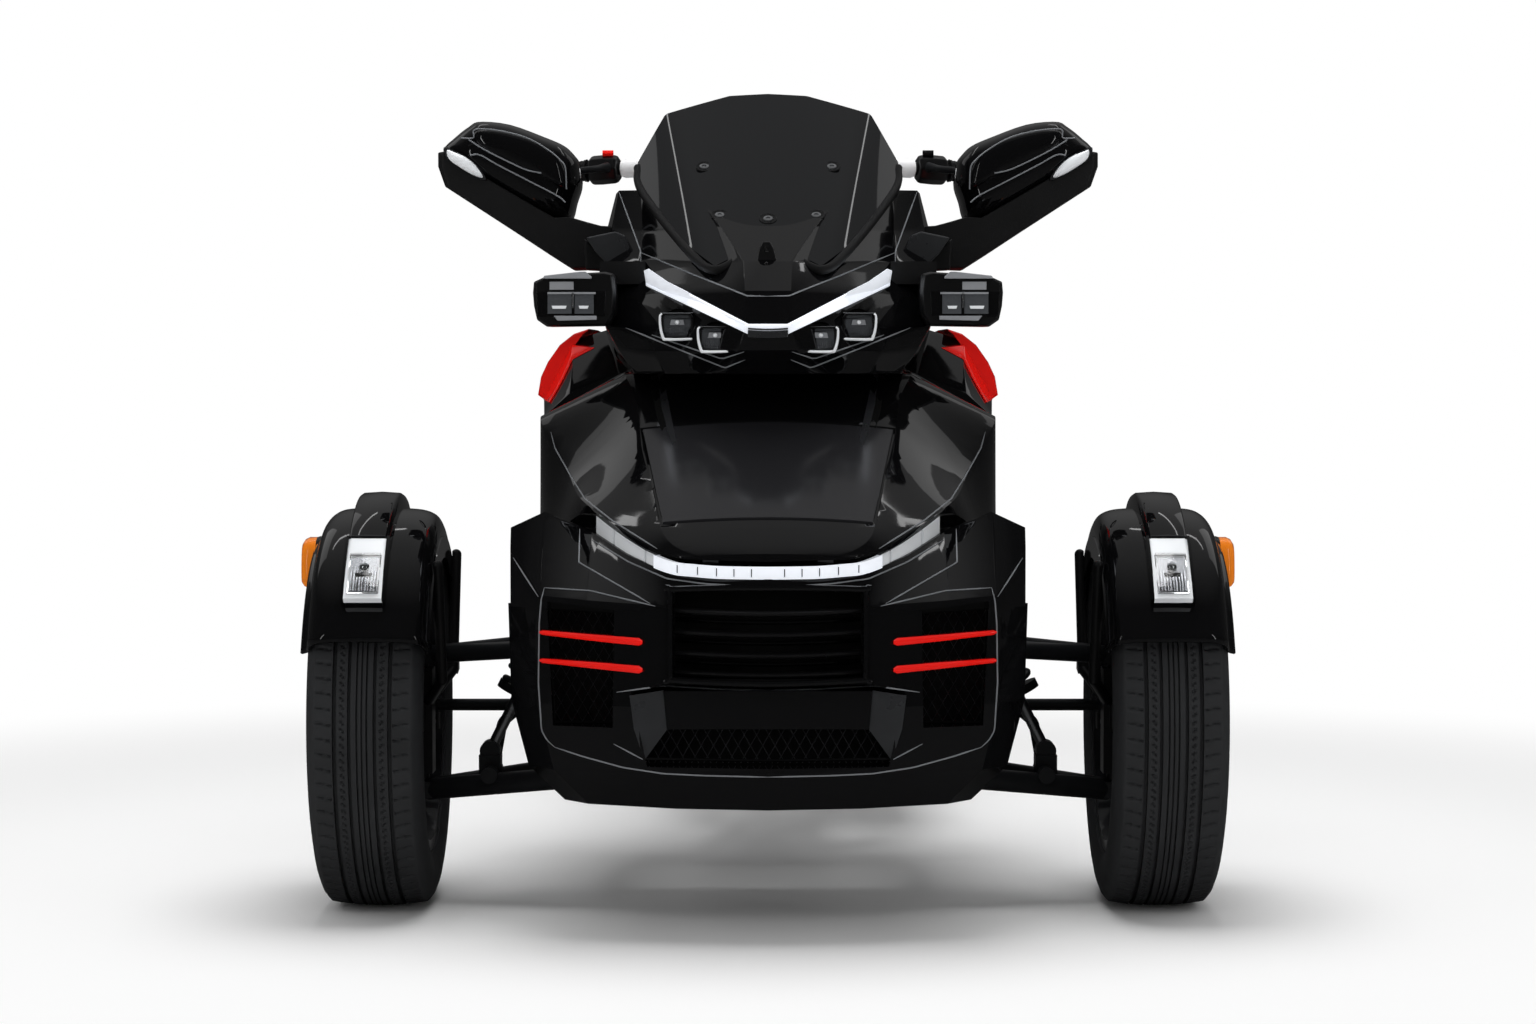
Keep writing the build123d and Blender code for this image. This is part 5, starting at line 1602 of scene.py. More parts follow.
@dataclass
class HeadLamps:
    """The lit V, its chromed middle and the four projector units under it.

    A unit has its middle across and up, its front behind the axle, its width and its height.
    Outlines of a unit are shares of its width and height, and steps pair a distance behind the
    unit's front with a scale.
    """

    units: tuple = ((132.0, 856.0, -90.0, 48.0, 38.0), (76.0, 837.0, -133.0, 48.0, 36.0))
    box: tuple = (
        (-0.46, 0.5), (0.42, 0.5), (0.5, 0.3), (0.5, -0.34),
        (0.42, -0.5), (-0.4, -0.5), (-0.5, -0.3), (-0.5, 0.36),
    )
    housing_steps: tuple = ((60, 1.0), (2, 1.0), (0, 0.96), (0, 0.86), (10, 0.8))
    dish_steps: tuple = ((9, 0.84), (22, 0.62), (34, 0.3))
    cell: tuple = ((-11, 1), (11, 1), (9, 9), (-9, 9))
    bulb: tuple = ((4, 3.4), (0, 3.4), (-2, 2), (-2.6, 0.3))
    flutes: tuple[float, int] = (15.0, 11)
    flute_ends: Pair = (-2.0, -14.0)
    rim: tuple = (
        (0.46, 0.47), (0.52, 0.34), (0.5, -0.1), (0.42, -0.46), (0.34, -0.52), (-0.1, -0.52), (-0.5, -0.5),
    )
    rim_r: tuple = (1.3, 2.3, 1.8)
    wedge_px: tuple = (
        (644, 271), (649, 269), (668, 282), (688, 292), (691, 296),
        (745, 322), (745, 325), (660, 290), (646, 283),
    )
    middle_half: float = 29.0
    middle_front: float = -165.0
    middle_deep: float = 14.0
    middle_drop: Pair = (1.5, 60.0)
    middle_bars: tuple = (("v_middle", 850.0, 853.0, CHROME), ("v_middle_foot", 839.0, 849.5, STAINLESS))

    def unit(self, side: Side, k: int, x: float, z: float, front: float, wide: float, tall: float) -> None:
        """One projector: a rounded housing, a dish, a cell, a bulb, flutes and a bright rim on two sides, a
        frosted white bead that is a painted highlight.

        Args:
            side: the side it is on.
            k: its number on that side.
            x: its middle across.
            z: its middle's height.
            front: how far its front lies behind the axle.
            wide: its width.
            tall: its height.
        """
        tag = f"projector_{k}_{side.word}"
        box = np.array(self.box) * (wide, tall) * (-side.value, 1) + (x * side.value, z)
        doubled = np.repeat(box, 2, axis=0) + np.tile([[0.01, 0], [-0.01, 0]], (len(box), 1))
        outline = smooth_ring(doubled, 64)
        middle_x, middle_z = outline.mean(axis=0)
        steps = [(front + back, scale) for back, scale in self.housing_steps]
        shell = dome(tag + "_housing", outline, steps, HOUSING, ROOT, 45, caps=False)
        if k == 0 and side is Side.RIGHT:
            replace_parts(shell, "headlight_units")
        steps = [(front + back, scale) for back, scale in self.dish_steps]
        dome(tag + "_dish", outline, steps, DISH, ROOT)
        cell = np.array(self.cell) + (middle_x, middle_z)
        bevel(slab(tag + "_cell", cell, (front + 6, front + 9), SATIN, ROOT), 1.0)
        lathe_y(tag + "_bulb", (middle_x, front + 4, middle_z + 5), self.bulb, GUIDE, ROOT, 20)
        reach, count = self.flutes
        for j, offset in enumerate(np.linspace(-reach, reach, count)):
            flute = [(middle_x + offset, front + 8, middle_z + end) for end in self.flute_ends]
            tube(f"{tag}_flute_{j}", np.array(flute), 0.7, DISH, ROOT, 6)
        # The rim is a painted highlight: a frosted white bead on the two sides where the edge catches light
        rim = np.array(self.rim) * (wide, tall) * (side.value, 1) + (x * side.value, z)
        radius = np.interp(np.linspace(0, 1, 40), (0, 0.5, 1), self.rim_r)
        tube(tag + "_rim", upright(smooth_line(rim, 40), front - 1.0), radius, GUIDE, ROOT, 10)

    def bar(self) -> None:
        """The V: a frosted guide on each side over a lit wedge, and two bowed bars in the middle."""
        eased_copy("headlight_bar", LIT, 1.2)
        front = Skin("headlight_bar").meet(self.wedge_px, 4.0)
        for side in Side:
            bevel(plate("v_wedge_" + side.word, mirror_x(front, side), 14.0, LIT), 0.8)
        x = np.linspace(-self.middle_half, self.middle_half, 21)
        drop = self.middle_drop[0] * np.cos(np.pi * x / self.middle_drop[1])
        back = self.middle_front + self.middle_deep
        for name, low, high, finish in self.middle_bars:
            corners = ((self.middle_front, low), (self.middle_front, high), (back, high), (back, low))
            rings = [upright(np.column_stack([x, z - drop]), b) for b, z in corners]
            bevel(loft(name, np.stack(rings, 1), finish, ROOT), 1.0)

    def build(self) -> None:
        """Builds the lamps on both sides."""
        self.bar()
        for side in Side:
            for k, row in enumerate(self.units):
                self.unit(side, k, *row)


@dataclass
class Windscreen:
    """The smoked screen: a bowed sheet, folded back along a crease on each side, with its fixings.

    Outlines are pairs of place across and height, for the right half.
    """

    low: tuple = ((0, 985), (30, 968), (78, 944), (120, 976), (192, 1068), (202, 1112))
    high: tuple = ((0, 1221), (60, 1218), (160, 1190), (180, 1153), (202, 1112))
    columns: tuple = (190.0, 48, 195.0, 199.0, 201.6)
    crease_low: Pair = (100.0, 969.0)
    crease_high: Pair = (158.0, 1192.0)
    fold: float = 0.55
    bend: float = 7.0
    foot: Pair = (-77.0, 930.0)
    rake: Pair = (401.0, 310.0)
    bow: Pair = (88.0, 230.0)
    wall: float = 4.0
    band_low: tuple = ((0, 978), (30, 963), (78, 938), (120, 970), (192, 1064), (201, 1104))
    band_r: float = 7.0
    bolts: tuple = ((97, 1100), (-97, 1100), (72, 1022), (-72, 1022), (0, 1016))
    bolt_lean: float = 38.0
    washer: tuple = ((3, 12.0), (-0.6, 13.2), (-1.4, 12.2), (-0.4, 9.4), (-0.2, 7.0))
    bolt_head: tuple = ((0, 7.2), (-1.4, 6.8), (-2.0, 5.6), (-1.8, 3.4), (-0.4, 3.0), (-0.4, 0.3))
    eye_px: tuple = ((757, 262), (759, 249), (763, 242), (770, 242), (774, 249), (777, 262))
    eye_steps: tuple = ((-30, 1.0), (-66, 1.0), (-70, 0.9))
    eye_lens: tuple = ((2, 5), (-1, 5), (-2, 4), (-2.6, 0.4))

    def depth(self, x: Array, z: Array) -> Array:
        """The sheet's distance behind the axle: a slope, a bow across and a soft fold past the crease.

        Args:
            x: places across.
            z: heights, which broadcast with them.

        Returns:
            Millimetres behind the front axle.
        """
        x, z = np.broadcast_arrays(np.abs(np.asarray(x, float)), np.asarray(z, float))
        crest = self.foot[0] + (z - self.foot[1]) * self.rake[0] / self.rake[1]
        (x0, z0), (x1, z1) = self.crease_low, self.crease_high
        crease = x0 + (z - z0) * (x1 - x0) / (z1 - z0)
        past = self.bend * np.logaddexp(0.0, (x - crease) / self.bend)
        return crest + self.bow[0] * (x / self.bow[1]) ** 2 + self.fold * past

    def sheet(self) -> None:
        """The sheet, columns from the lower to the upper edge at each width."""
        even, count, *edge = self.columns
        half = np.concatenate([np.linspace(0, even, count), edge])
        x = np.concatenate([-half[:0:-1], half])
        lows = np.interp(np.abs(x), *np.transpose(self.low))
        highs = np.interp(np.abs(x), *np.transpose(self.high))
        t = np.linspace(0, 1, 40)[:, None]
        z = lows + (highs - lows) * t
        xs = np.broadcast_to(x, z.shape)
        points = np.stack([xs, self.depth(xs, z), z], -1)
        screen = make("windscreen_sheet", points, grid_faces(*z.shape), SMOKED, ROOT, 20)
        thicken(screen, self.wall)
        bevel(screen, 1.2, angle=50)
        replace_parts(screen, "windscreen")

    def band(self) -> None:
        """The rubber band on which the lower edge rests, a tube along a smooth line."""
        half = smooth_line(self.band_low, 50)
        line = np.vstack([half[:0:-1] * (-1, 1), half])
        path = upright(line, self.depth(line[:, 0], line[:, 1]) + 5.0)
        tube("windscreen_band", path, self.band_r, RUBBER, ROOT, 12)

    def fixings(self) -> None:
        """Five bolts in dished rubber washers, turned pieces leaned square to the sheet."""
        lean = math.radians(self.bolt_lean)
        c, s = math.cos(lean), math.sin(lean)
        for k, (x, z) in enumerate(self.bolts):
            b = float(self.depth(np.array([x]), np.array([z]))[0])
            for part, profile, finish in (("washer", self.washer, RUBBER), ("bolt", self.bolt_head, ZINC)):
                piece = lathe_y(f"screen_{part}_{k}", (0, 0, 0), profile, finish, ROOT, 28)
                co = np.array([v.co for v in piece.data.vertices]) / MM - (0, AXLE_Y, 0)
                across, back, up = co.T
                turned = np.column_stack([across, back * s + up * c, -back * c + up * s])
                piece.data.vertices.foreach_set("co", place(turned + (x, b, z)).ravel())
                piece.data.update()

    def camera_eye(self) -> None:
        """The small trapezoid camera housing below the screen's notch."""
        outline = seen(self.eye_px, -60.0)
        dome("camera_housing", outline, self.eye_steps, HOUSING, ROOT, 30)
        x, z = outline.mean(axis=0)
        lathe_y("camera_lens", (x, -70, z + 2), self.eye_lens, LENS, ROOT, 24)

    def build(self) -> None:
        """Builds the screen and what holds it."""
        self.sheet()
        self.band()
        self.fixings()
        self.camera_eye()


@dataclass
class Arrises:
    """Painted highlights: fine light grey beads on the lacquered panels' edges, laid on the CAD surface where
    the camera sees them.

    Each line names its node and the pixels that it passes, on the left half of the photograph.
    """

    lines: tuple = (
        ("upper_fairing", ((619.5, 193), (641, 252), (641, 265))),
        ("upper_fairing", ((641, 253), (694, 275), (747, 296), (768, 296.5))),
        ("upper_fairing", ((652, 335), (722, 359), (744, 352))),
        (
            "front_fascia",
            ((544, 588), (540.8, 600), (538.8, 623), (537.8, 684), (540.8, 731), (546, 741), (554, 748.4)),
        ),
        (
            "front_fascia",
            ((554, 748.4), (581.6, 757.5), (622.4, 768.8), (663, 775), (704, 777), (768, 778.5)),
        ),
        ("front_fascia", ((513, 558), (537.8, 597))),
        ("front_fascia", ((544, 588), (590, 591), (655, 606.5))),
        ("front_fascia", ((579.6, 529), (578.6, 562.6), (650, 604))),
        ("front_fascia", ((616, 693), (663, 686.5), (721, 690), (768, 691))),
        ("front_fascia", ((613, 745), (646, 762.6))),
        ("front_fascia", ((592, 540), (628, 562), (667, 579), (704, 584), (768, 588))),
        ("nose_body", ((550.8, 432), (555, 448), (571.5, 477.6), (584.8, 499), (611, 520), (657, 549))),
        ("upper_fairing", ((626, 328), (680, 350), (725, 368), (745, 360))),
    )
    radius: float = 1.1
    lift: float = 0.6
    step_px: float = 4.0
    taper_px: float = 25.0
    lid_strip_px: tuple = (
        (658, 374), (663, 371), (668, 400), (681, 455),
        (692.5, 509), (690, 509), (676, 465), (661, 405),
    )
    lid_gap_px: tuple = (
        (651, 376), (658, 374), (661, 405), (676, 465),
        (690, 509), (687, 509), (670, 465), (655, 410),
    )
    cowl_tabs_px: tuple = (
        ((639, 341), (645, 345), (654, 359), (649, 362)),
        ((650, 363), (655, 360), (662, 370), (655, 373)),
    )

    def hood_edges(self) -> None:
        """The raised strip down each side of the lid in lighter lacquer as painted highlight, the dark gap
        beside it as a near-black plate of painted shade, and the tabs above it in lighter lacquer as painted
        reflection.
        """
        skin = Skin("nose_body")
        rows = [("hood_strip_", self.lid_strip_px, 5.0, 12.0, SATIN_SHEEN)]
        rows += [("hood_gap_", self.lid_gap_px, 3.0, 12.0, SHADE_BACKING)]
        rows += [(f"cowl_tab_{k}_", px, 6.0, 14.0, SATIN_SHEEN) for k, px in enumerate(self.cowl_tabs_px)]
        for side in Side:
            for name, px, lift, wall, finish in rows:
                plate(name + side.word, skin.meet(px, lift) * (-side.value, 1, 1), wall, finish)

    def build(self) -> None:
        """Lays every line on both sides, a fine round bead of painted highlight that thins toward its ends.
        """
        self.hood_edges()
        skins = {node: Skin(node) for node, _ in self.lines}
        for k, (node, pixels) in enumerate(self.lines):
            run = np.asarray(pixels, float)
            steps = np.concatenate([[0.0], np.cumsum(np.linalg.norm(np.diff(run, axis=0), axis=1))])
            spots = np.linspace(0, steps[-1], max(6, int(steps[-1] / self.step_px)))
            dense = np.column_stack([np.interp(spots, steps, run[:, c]) for c in (0, 1)])
            path = skins[node].meet(dense, self.lift)
            taper = np.clip(np.minimum(spots, spots[-1] - spots) / self.taper_px + 0.35, 0, 1)
            for side in Side:
                name = f"arris_{k}_{side.word}"
                # Each bead is a painted highlight in the light grey arris finish
                tube(name, path * (-side.value, 1, 1), self.radius * taper, HIGHLIGHT_ARRIS, ROOT, 6)


@dataclass
class Mirrors:
    """Both mirrors: a matt arm, a lacquered shell with a raised cap, a turn lamp and the glass.

    Outlines are pixels of the left mirror in the photograph. Steps pair a distance behind the
    front axle with a scale about the outline's centre.
    """

    shell_px: tuple = (
        (444, 151), (455, 138), (469, 127), (480, 122), (510, 125), (546, 138), (564, 146), (573, 154),
        (579, 164), (581, 185), (576, 202), (571, 219), (558, 224), (525, 208), (489, 187), (460, 169),
    )
    cap_px: tuple = (
        (474, 136), (480, 131), (500, 132), (528, 139), (552, 151), (563, 163),
        (567, 176), (567, 190), (545, 182), (512, 168), (486, 152), (476, 144),
    )
    arm_px: tuple = (
        (440, 154), (440, 168), (447, 188), (518, 234), (553, 257), (575, 271), (600, 270), (622, 264),
        (624, 234), (620, 228), (603, 227), (588, 223), (571, 218), (556, 219), (489, 180), (446, 153),
    )
    root_px: tuple = ((589, 240), (618, 234), (628, 238), (643, 282), (612, 268), (600, 256))
    knee_px: tuple = ((586, 240), (600, 252), (612, 268), (643, 284), (606, 272), (588, 271))
    lamp_px: tuple = (
        (447, 150), (454, 152), (468, 158), (480, 168),
        (488, 181), (478, 179), (462, 170), (449, 160),
    )
    upper_edge_px: tuple = (
        (462, 139), (474, 139), (474.5, 132), (481, 130), (502, 132),
        (528, 139), (549, 151), (561, 161), (566, 169), (567, 190),
    )
    middle_edge_px: tuple = ((470, 141), (488, 152), (514, 165), (528, 171), (542, 174))
    lower_edge_px: tuple = ((471, 156), (481, 156), (499, 166), (528, 181), (557, 196), (566, 203))
    edge_depths: Triple = (236.0, 228.5, 227.5)
    edge_r: float = 1.1
    shell_behind: float = 280.0
    shell_steps: tuple = (
        (352, 0.97), (350, 1.0), (300, 1.0), (276, 0.965), (258, 0.9),
        (245, 0.78), (237, 0.6), (234, 0.35), (233, 0.06),
    )
    cap_behind: float = 250.0
    cap_steps: tuple = (
        (262, 1.0), (243, 0.98), (238, 0.93), (234, 0.82), (231, 0.6), (229.5, 0.3), (229, 0.05),
    )
    arm_behind: float = 262.0
    arm_steps: tuple = ((286, 0.97), (283, 1.0), (246, 1.0), (240, 0.95))
    root_behind: float = 238.0
    root_depths: Pair = (150, 238)
    knee_depths: Pair = (180, 234)
    lamp_back_steps: tuple = ((300, 1.0), (240, 1.05), (237, 1.0))
    lamp_steps: tuple = ((245, 0.9), (236, 0.86), (233, 0.72), (231.5, 0.45), (231, 0.1))
    pane_share: float = 0.92
    pane_steps: tuple = ((351, 1.0), (354, 1.0), (355, 0.97))

    def foot(self, side: Side) -> None:
        """The arm, and the two facets at its root on the fairing; the root facet's lighter lacquer is a
        painted reflection.

        Args:
            side: the side they are on.
        """
        word = side.word
        outline = seen(self.arm_px, self.arm_behind, side)
        arm = dome("mirror_arm_" + word, outline, self.arm_steps, MOULDING, ROOT, 30)
        bevel(arm, 4.0, 3)
        root = ("root", self.root_px, self.root_depths, SATIN_SHEEN)
        knee = ("knee", self.knee_px, self.knee_depths, MOULDING)
        for part, px, depths, finish in (root, knee):
            outline = seen(px, self.root_behind, side)
            bevel(slab(f"mirror_{part}_{word}", outline, depths, finish, ROOT), 3.0)

    def edges(self, side: Side) -> None:
        """The bright lines round the cap, fine round beads of painted highlight.

        Args:
            side: the side they are on.
        """
        runs = (self.upper_edge_px, self.middle_edge_px, self.lower_edge_px)
        for k, (behind, px) in enumerate(zip(self.edge_depths, runs)):
            run = upright(smooth_line(seen(px, behind, side), 40), behind)
            tube(f"mirror_edge_{k}_{side.word}", run, self.edge_r, HIGHLIGHT_ARRIS, ROOT, 6)

    def build(self) -> None:
        """Builds one mirror for each side; the right one stands for the CAD nodes."""
        for side in Side:
            word = side.word
            outline = smooth_ring(seen(self.shell_px, self.shell_behind, side), 56)
            shell = dome("mirror_shell_" + word, outline, self.shell_steps, LACQUER, ROOT, 60)
            cap = smooth_ring(seen(self.cap_px, self.cap_behind, side), 56)
            dome("mirror_cap_" + word, cap, self.cap_steps, LACQUER, ROOT, 60)
            self.foot(side)
            lamp = smooth_ring(seen(self.lamp_px, self.arm_behind, side), 32)
            dome("mirror_lamp_back_" + word, lamp, self.lamp_back_steps, STAINLESS, ROOT)
            dome("mirror_lamp_" + word, lamp, self.lamp_steps, GUIDE, ROOT)
            self.edges(side)
            centre = outline.mean(axis=0)
            pane = centre + (outline - centre) * self.pane_share
            pane = dome("mirror_pane_" + word, pane, self.pane_steps, SILVERED, ROOT)
            if side is Side.RIGHT:
                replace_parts(shell, "mirrors")
                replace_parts(pane, "mirror_glass")


@dataclass
class SideLamps:
    """The auxiliary lamp pods below the mirrors: housing, windows, cells and chromed strips.

    Outlines are pixels of the left pod in the photograph. A plate has its name, outline, front
    and back counted from the pod's front, finish and eased edge.
    """

    pod_px: tuple = (
        (533, 293), (534, 282), (545, 277), (570, 274), (606, 272), (614, 274),
        (616, 292), (615, 314), (608, 326), (547, 327), (537, 320), (534, 306),
    )
    front: float = -34.0
    pod_steps: tuple = ((118, 0.94), (100, 0.98), (-26, 1.0), (-34, 0.93))
    plates: tuple = (
        ("pod_face_", ((537, 292), (606, 291), (605, 316), (538, 317)), (-1, 2), LACQUER, 0.8),
        ("pod_trim_", ((548, 292.4), (596, 292.4), (596, 294.4), (548, 294.4)), (-4, 0), SATIN, 0.3),
        (
            "pod_brow_",
            ((543, 279), (545, 276), (581, 272), (586, 272), (592, 277), (592, 279)),
            (-5, 6),
            SATIN,
            0.8,
        ),
        ("pod_foot_", ((554, 316), (597, 316), (597, 320), (558, 321)), (-4, 0), SATIN, 0.8),
        ("pod_cell_a_", ((550, 282), (574, 282), (574, 290), (550, 290)), (-2, 0), SATIN, 0.3),
        ("pod_cell_b_", ((548, 294), (572, 294), (572, 314), (548, 314)), (-2, 0), DISH, 0.3),
        # The glints are frosted white plates: painted highlights on the cells' reflectors
        ("pod_glint_b_", ((552, 306), (567, 306), (566, 309), (553, 309)), (-3, -2), GUIDE, 0.3),
        ("pod_cell_c_", ((575, 294), (594, 294), (594, 314), (575, 314)), (-2, 0), DISH, 0.3),
        ("pod_glint_c_", ((579, 306), (589, 306), (588, 309), (580, 309)), (-3, -2), GUIDE, 0.3),
    )
    post: tuple = ("pod_post_", ((572.4, 293), (574, 293), (574, 308), (572.4, 308)), (-5, 0), CHROME, 0.3)
    bracket: tuple = ((184, 920), (252, 920), (252, 954), (184, 954))
    bracket_depths: Pair = (66, 112)

    def window(self, side: Side, name: str, px: tuple, span: tuple, finish: Finish, edge: float) -> None:
        """One plate on the pod, between a front and a back counted from the pod's, eased at its edges."""
        depths = (self.front + span[0], self.front + span[1])
        bevel(slab(name + side.word, seen(px, self.front, side), depths, finish, ROOT), edge)

    def build(self) -> None:
        """Builds one pod for each side, with the bracket behind it."""
        for side in Side:
            outline = seen(self.pod_px, self.front, side)
            pod = dome("lamp_pod_" + side.word, outline, self.pod_steps, HOUSING, ROOT, 30)
            bevel(pod, 1.6)
            if side is Side.RIGHT:
                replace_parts(pod, "side_lamps")
            for row in self.plates:
                self.window(side, *row)
            bracket = np.multiply(self.bracket, (side.value, 1))
            slab("pod_bracket_" + side.word, bracket, self.bracket_depths, MOULDING, ROOT)
            self.window(side, *self.post)


@dataclass
class AccentLips:
    """The front lip of each red accent, which stands proud where the photograph looks along it.

    The outline is in pixels of the left lip. A step has its distance behind the lip's front,
    its shift toward the body and its scale.
    """

    px: tuple = (
        (589, 329), (574, 334), (560, 345), (548, 362), (541, 377), (538, 395),
        (549, 403), (557, 393), (566, 374), (575, 358), (576, 344), (584, 333),
    )
    behind: float = 236.0
    steps: tuple = ((0, 0, 0.95), (3, 0, 1.0), (70, 12, 0.97), (150, 36, 0.8))

    def build(self) -> None:
        """Builds one lip for each side, its back sunk into the side panel."""
        for side in Side:
            front = seen(self.px, self.behind, side)
            centre = front.mean(axis=0)
            rings = []
            for back, inward, scale in self.steps:
                ring = centre + (front - centre) * scale - (side.value * inward, 0.0)
                rings.append(upright(ring, self.behind + back))
            loft("accent_lip_" + side.word, np.stack(rings), RED, ROOT, 30)


@dataclass
class EngineTrim:
    """Cast detail on both flanks of the engine block: ribs, round covers and their bolts.

    A cover has its place behind the axle, its height and its radius, and a cover step its
    offset from the flank and its scale.
    """

    flank: float = 96.0
    rib_section: tuple = ((-6, -3.2), (7, -2), (7, 2), (-6, 3.2))
    rib_span: Pair = (412, 778)
    rib_heights: tuple[float, float, int] = (462.0, 582.0, 9)
    covers: tuple = ((486.0, 352.0, 80.0), (668.0, 344.0, 66.0))
    cover_steps: tuple = ((-8, 1.0), (7, 1.0), (9.5, 0.96), (10, 0.93), (10, 0.6), (12.5, 0.55), (13, 0.5))
    bolt_ring: float = 0.86
    bolt_r: float = 5.5
    bolt_ends: Pair = (4.0, 13.0)
    bolt_count: int = 8

    def bolts(self, name: str, behind: float, z: float, ring: float, side: Side) -> None:
        """Hexagon heads round a cover, one mesh.

        Args:
            name: the piece's name.
            behind: the cover's place behind the axle.
            z: its height.
            ring: the radius on which the bolts stand.
            side: the flank they are on.
        """
        points, faces = [], []
        ends = [(0, 1, 2, 3), (0, 3, 4, 5), (6, 9, 8, 7), (6, 11, 10, 9)]
        six = np.vstack([grid_faces(2, 6, wrap_cols=True), ends])
        for k, turn in enumerate(np.arange(self.bolt_count) * 2 * np.pi / self.bolt_count):
            spot = np.array([behind + ring * math.cos(turn), z + ring * math.sin(turn)])
            path = np.array([(side.value * (self.flank + out), *spot) for out in self.bolt_ends])
            points.append(tube_points(path, self.bolt_r, 6).reshape(-1, 3))
            faces.append(six + 12 * k)
        make(name, np.concatenate(points), np.concatenate(faces), ZINC, ROOT, 20)

    def build(self) -> None:
        """Dresses both flanks."""
        out, scale = np.transpose(self.cover_steps)
        for side in Side:
            for k, z in enumerate(np.linspace(*self.rib_heights)):
                rib = (np.array(self.rib_section) + (self.flank, z)) * (side.value, 1)
                bevel(slab(f"engine_rib_{k}_{side.word}", rib, self.rib_span, CASTING, ROOT), 0.8)
            for k, (behind, z, radius) in enumerate(self.covers):
                path = np.column_stack([side.value * (self.flank + out), 0 * out + behind, 0 * out + z])
                tube(f"engine_cover_{k}_{side.word}", path, radius * scale, CASTING, ROOT, 48)
                self.bolts(f"engine_bolts_{k}_{side.word}", behind, z, self.bolt_ring * radius, side)


@dataclass
class Controls:
    """The steered bar's rubber grips, switch boxes and levers.

    Distances are counted along the bar from its inner end, and offsets are (across, behind, up)
    from the switch's place on it.
    """

    inner: Triple = (236.0, 650.0, 1124.0)
    outer: Triple = (430.0, 700.0, 1116.0)
    grip: tuple[float, float, int] = (66.0, 206.0, 71)
    grip_r: float = 16.2
    grip_ring: Pair = (0.9, 8.0)
    grip_collars: tuple = ((72.0, 2.0), (200.0, 1.4))
    end: tuple = ((206.0, 15.0), (210, 16), (218, 15.6), (220, 12))
    box: tuple = ((10.0, 14.0), (12, 22), (18, 24), (40, 25), (56, 24.5), (60, 21), (62, 16))
    sleeve: tuple = ((-34.0, 12.0), (-30, 15.5), (0, 15.5), (6, 13.0))
    switch: float = 30.0
    button: tuple = ((-9, -8, 26), (9, -8, 26))
    button_r: float = 5.5
    lever: tuple = ((0, -26, 2), (34, -58, -4), (92, -66, -8))
    lever_tip: tuple = (196.0, (4, -58, -8))
    lever_r: tuple = ((0, 9), (0.15, 6), (0.8, 5.2), (0.95, 7.2), (1, 4))

    def along(self, distance: Array) -> Array:
        """Points on the bar at distances from its inner end, on the right side.

        Args:
            distance: one distance or an array of them.

        Returns:
            One point for each.
        """
        a, b = np.array(self.inner), np.array(self.outer)
        run = (b - a) / np.linalg.norm(b - a)
        return a + run * np.asarray(distance, float)[..., None]

    def sleeved(self, name: str, steps: tuple, finish: Finish, side: Side, sides: int) -> Object:
        """A round or flat-sided piece over the bar, from pairs of distance along it and radius."""
        t, radius = np.transpose(steps)
        return tube(name + side.word, mirror_x(self.along(t), side), radius, finish, Body.BAR, sides)

    def ribbed_grip(self, side: Side) -> Object:
        """The grip: a square wave of rings between two collars.

        Args:
            side: the side it is on.

        Returns:
            The new object.
        """
        t = np.linspace(*self.grip)
        high, pitch = self.grip_ring
        (inner_end, inner_high), (outer_end, outer_high) = self.grip_collars
        radius = self.grip_r + high * (np.sin(t * 2 * np.pi / pitch) > 0)
        radius = radius + inner_high * (t < inner_end) + outer_high * (t > outer_end)
        return self.sleeved("grip_", np.column_stack([t, radius]), RUBBER, side, 24)

    def build(self) -> None:
        """Builds the controls for each side; the right ones stand for the CAD nodes."""
        for side in Side:
            grip = self.ribbed_grip(side)
            self.sleeved("grip_end_", self.end, HOUSING, side, 24)
            box = bevel(self.sleeved("switch_box_", self.box, HOUSING, side, 8), 2.5, 3, 20)
            a = self.along(self.switch)
            button = mirror_x(a + np.array(self.button), side)
            cap = RED if side is Side.LEFT else HOUSING
            tube("switch_button_" + side.word, button, self.button_r, cap, Body.BAR, 8)
            reach, off = self.lever_tip
            line = smooth_line([*(a + np.array(self.lever)), self.along(reach) + off], 40)
            radius = np.interp(np.linspace(0, 1, 40), *np.transpose(self.lever_r))
            lever = tube("lever_" + side.word, mirror_x(line, side), radius, FORGED, Body.BAR, 14)
            self.sleeved("bar_sleeve_", self.sleeve, WHITE, side, 24)
            if side is Side.RIGHT:
                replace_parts(grip, "grips")
                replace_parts(box, "switch_boxes")
                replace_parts(lever, "levers")


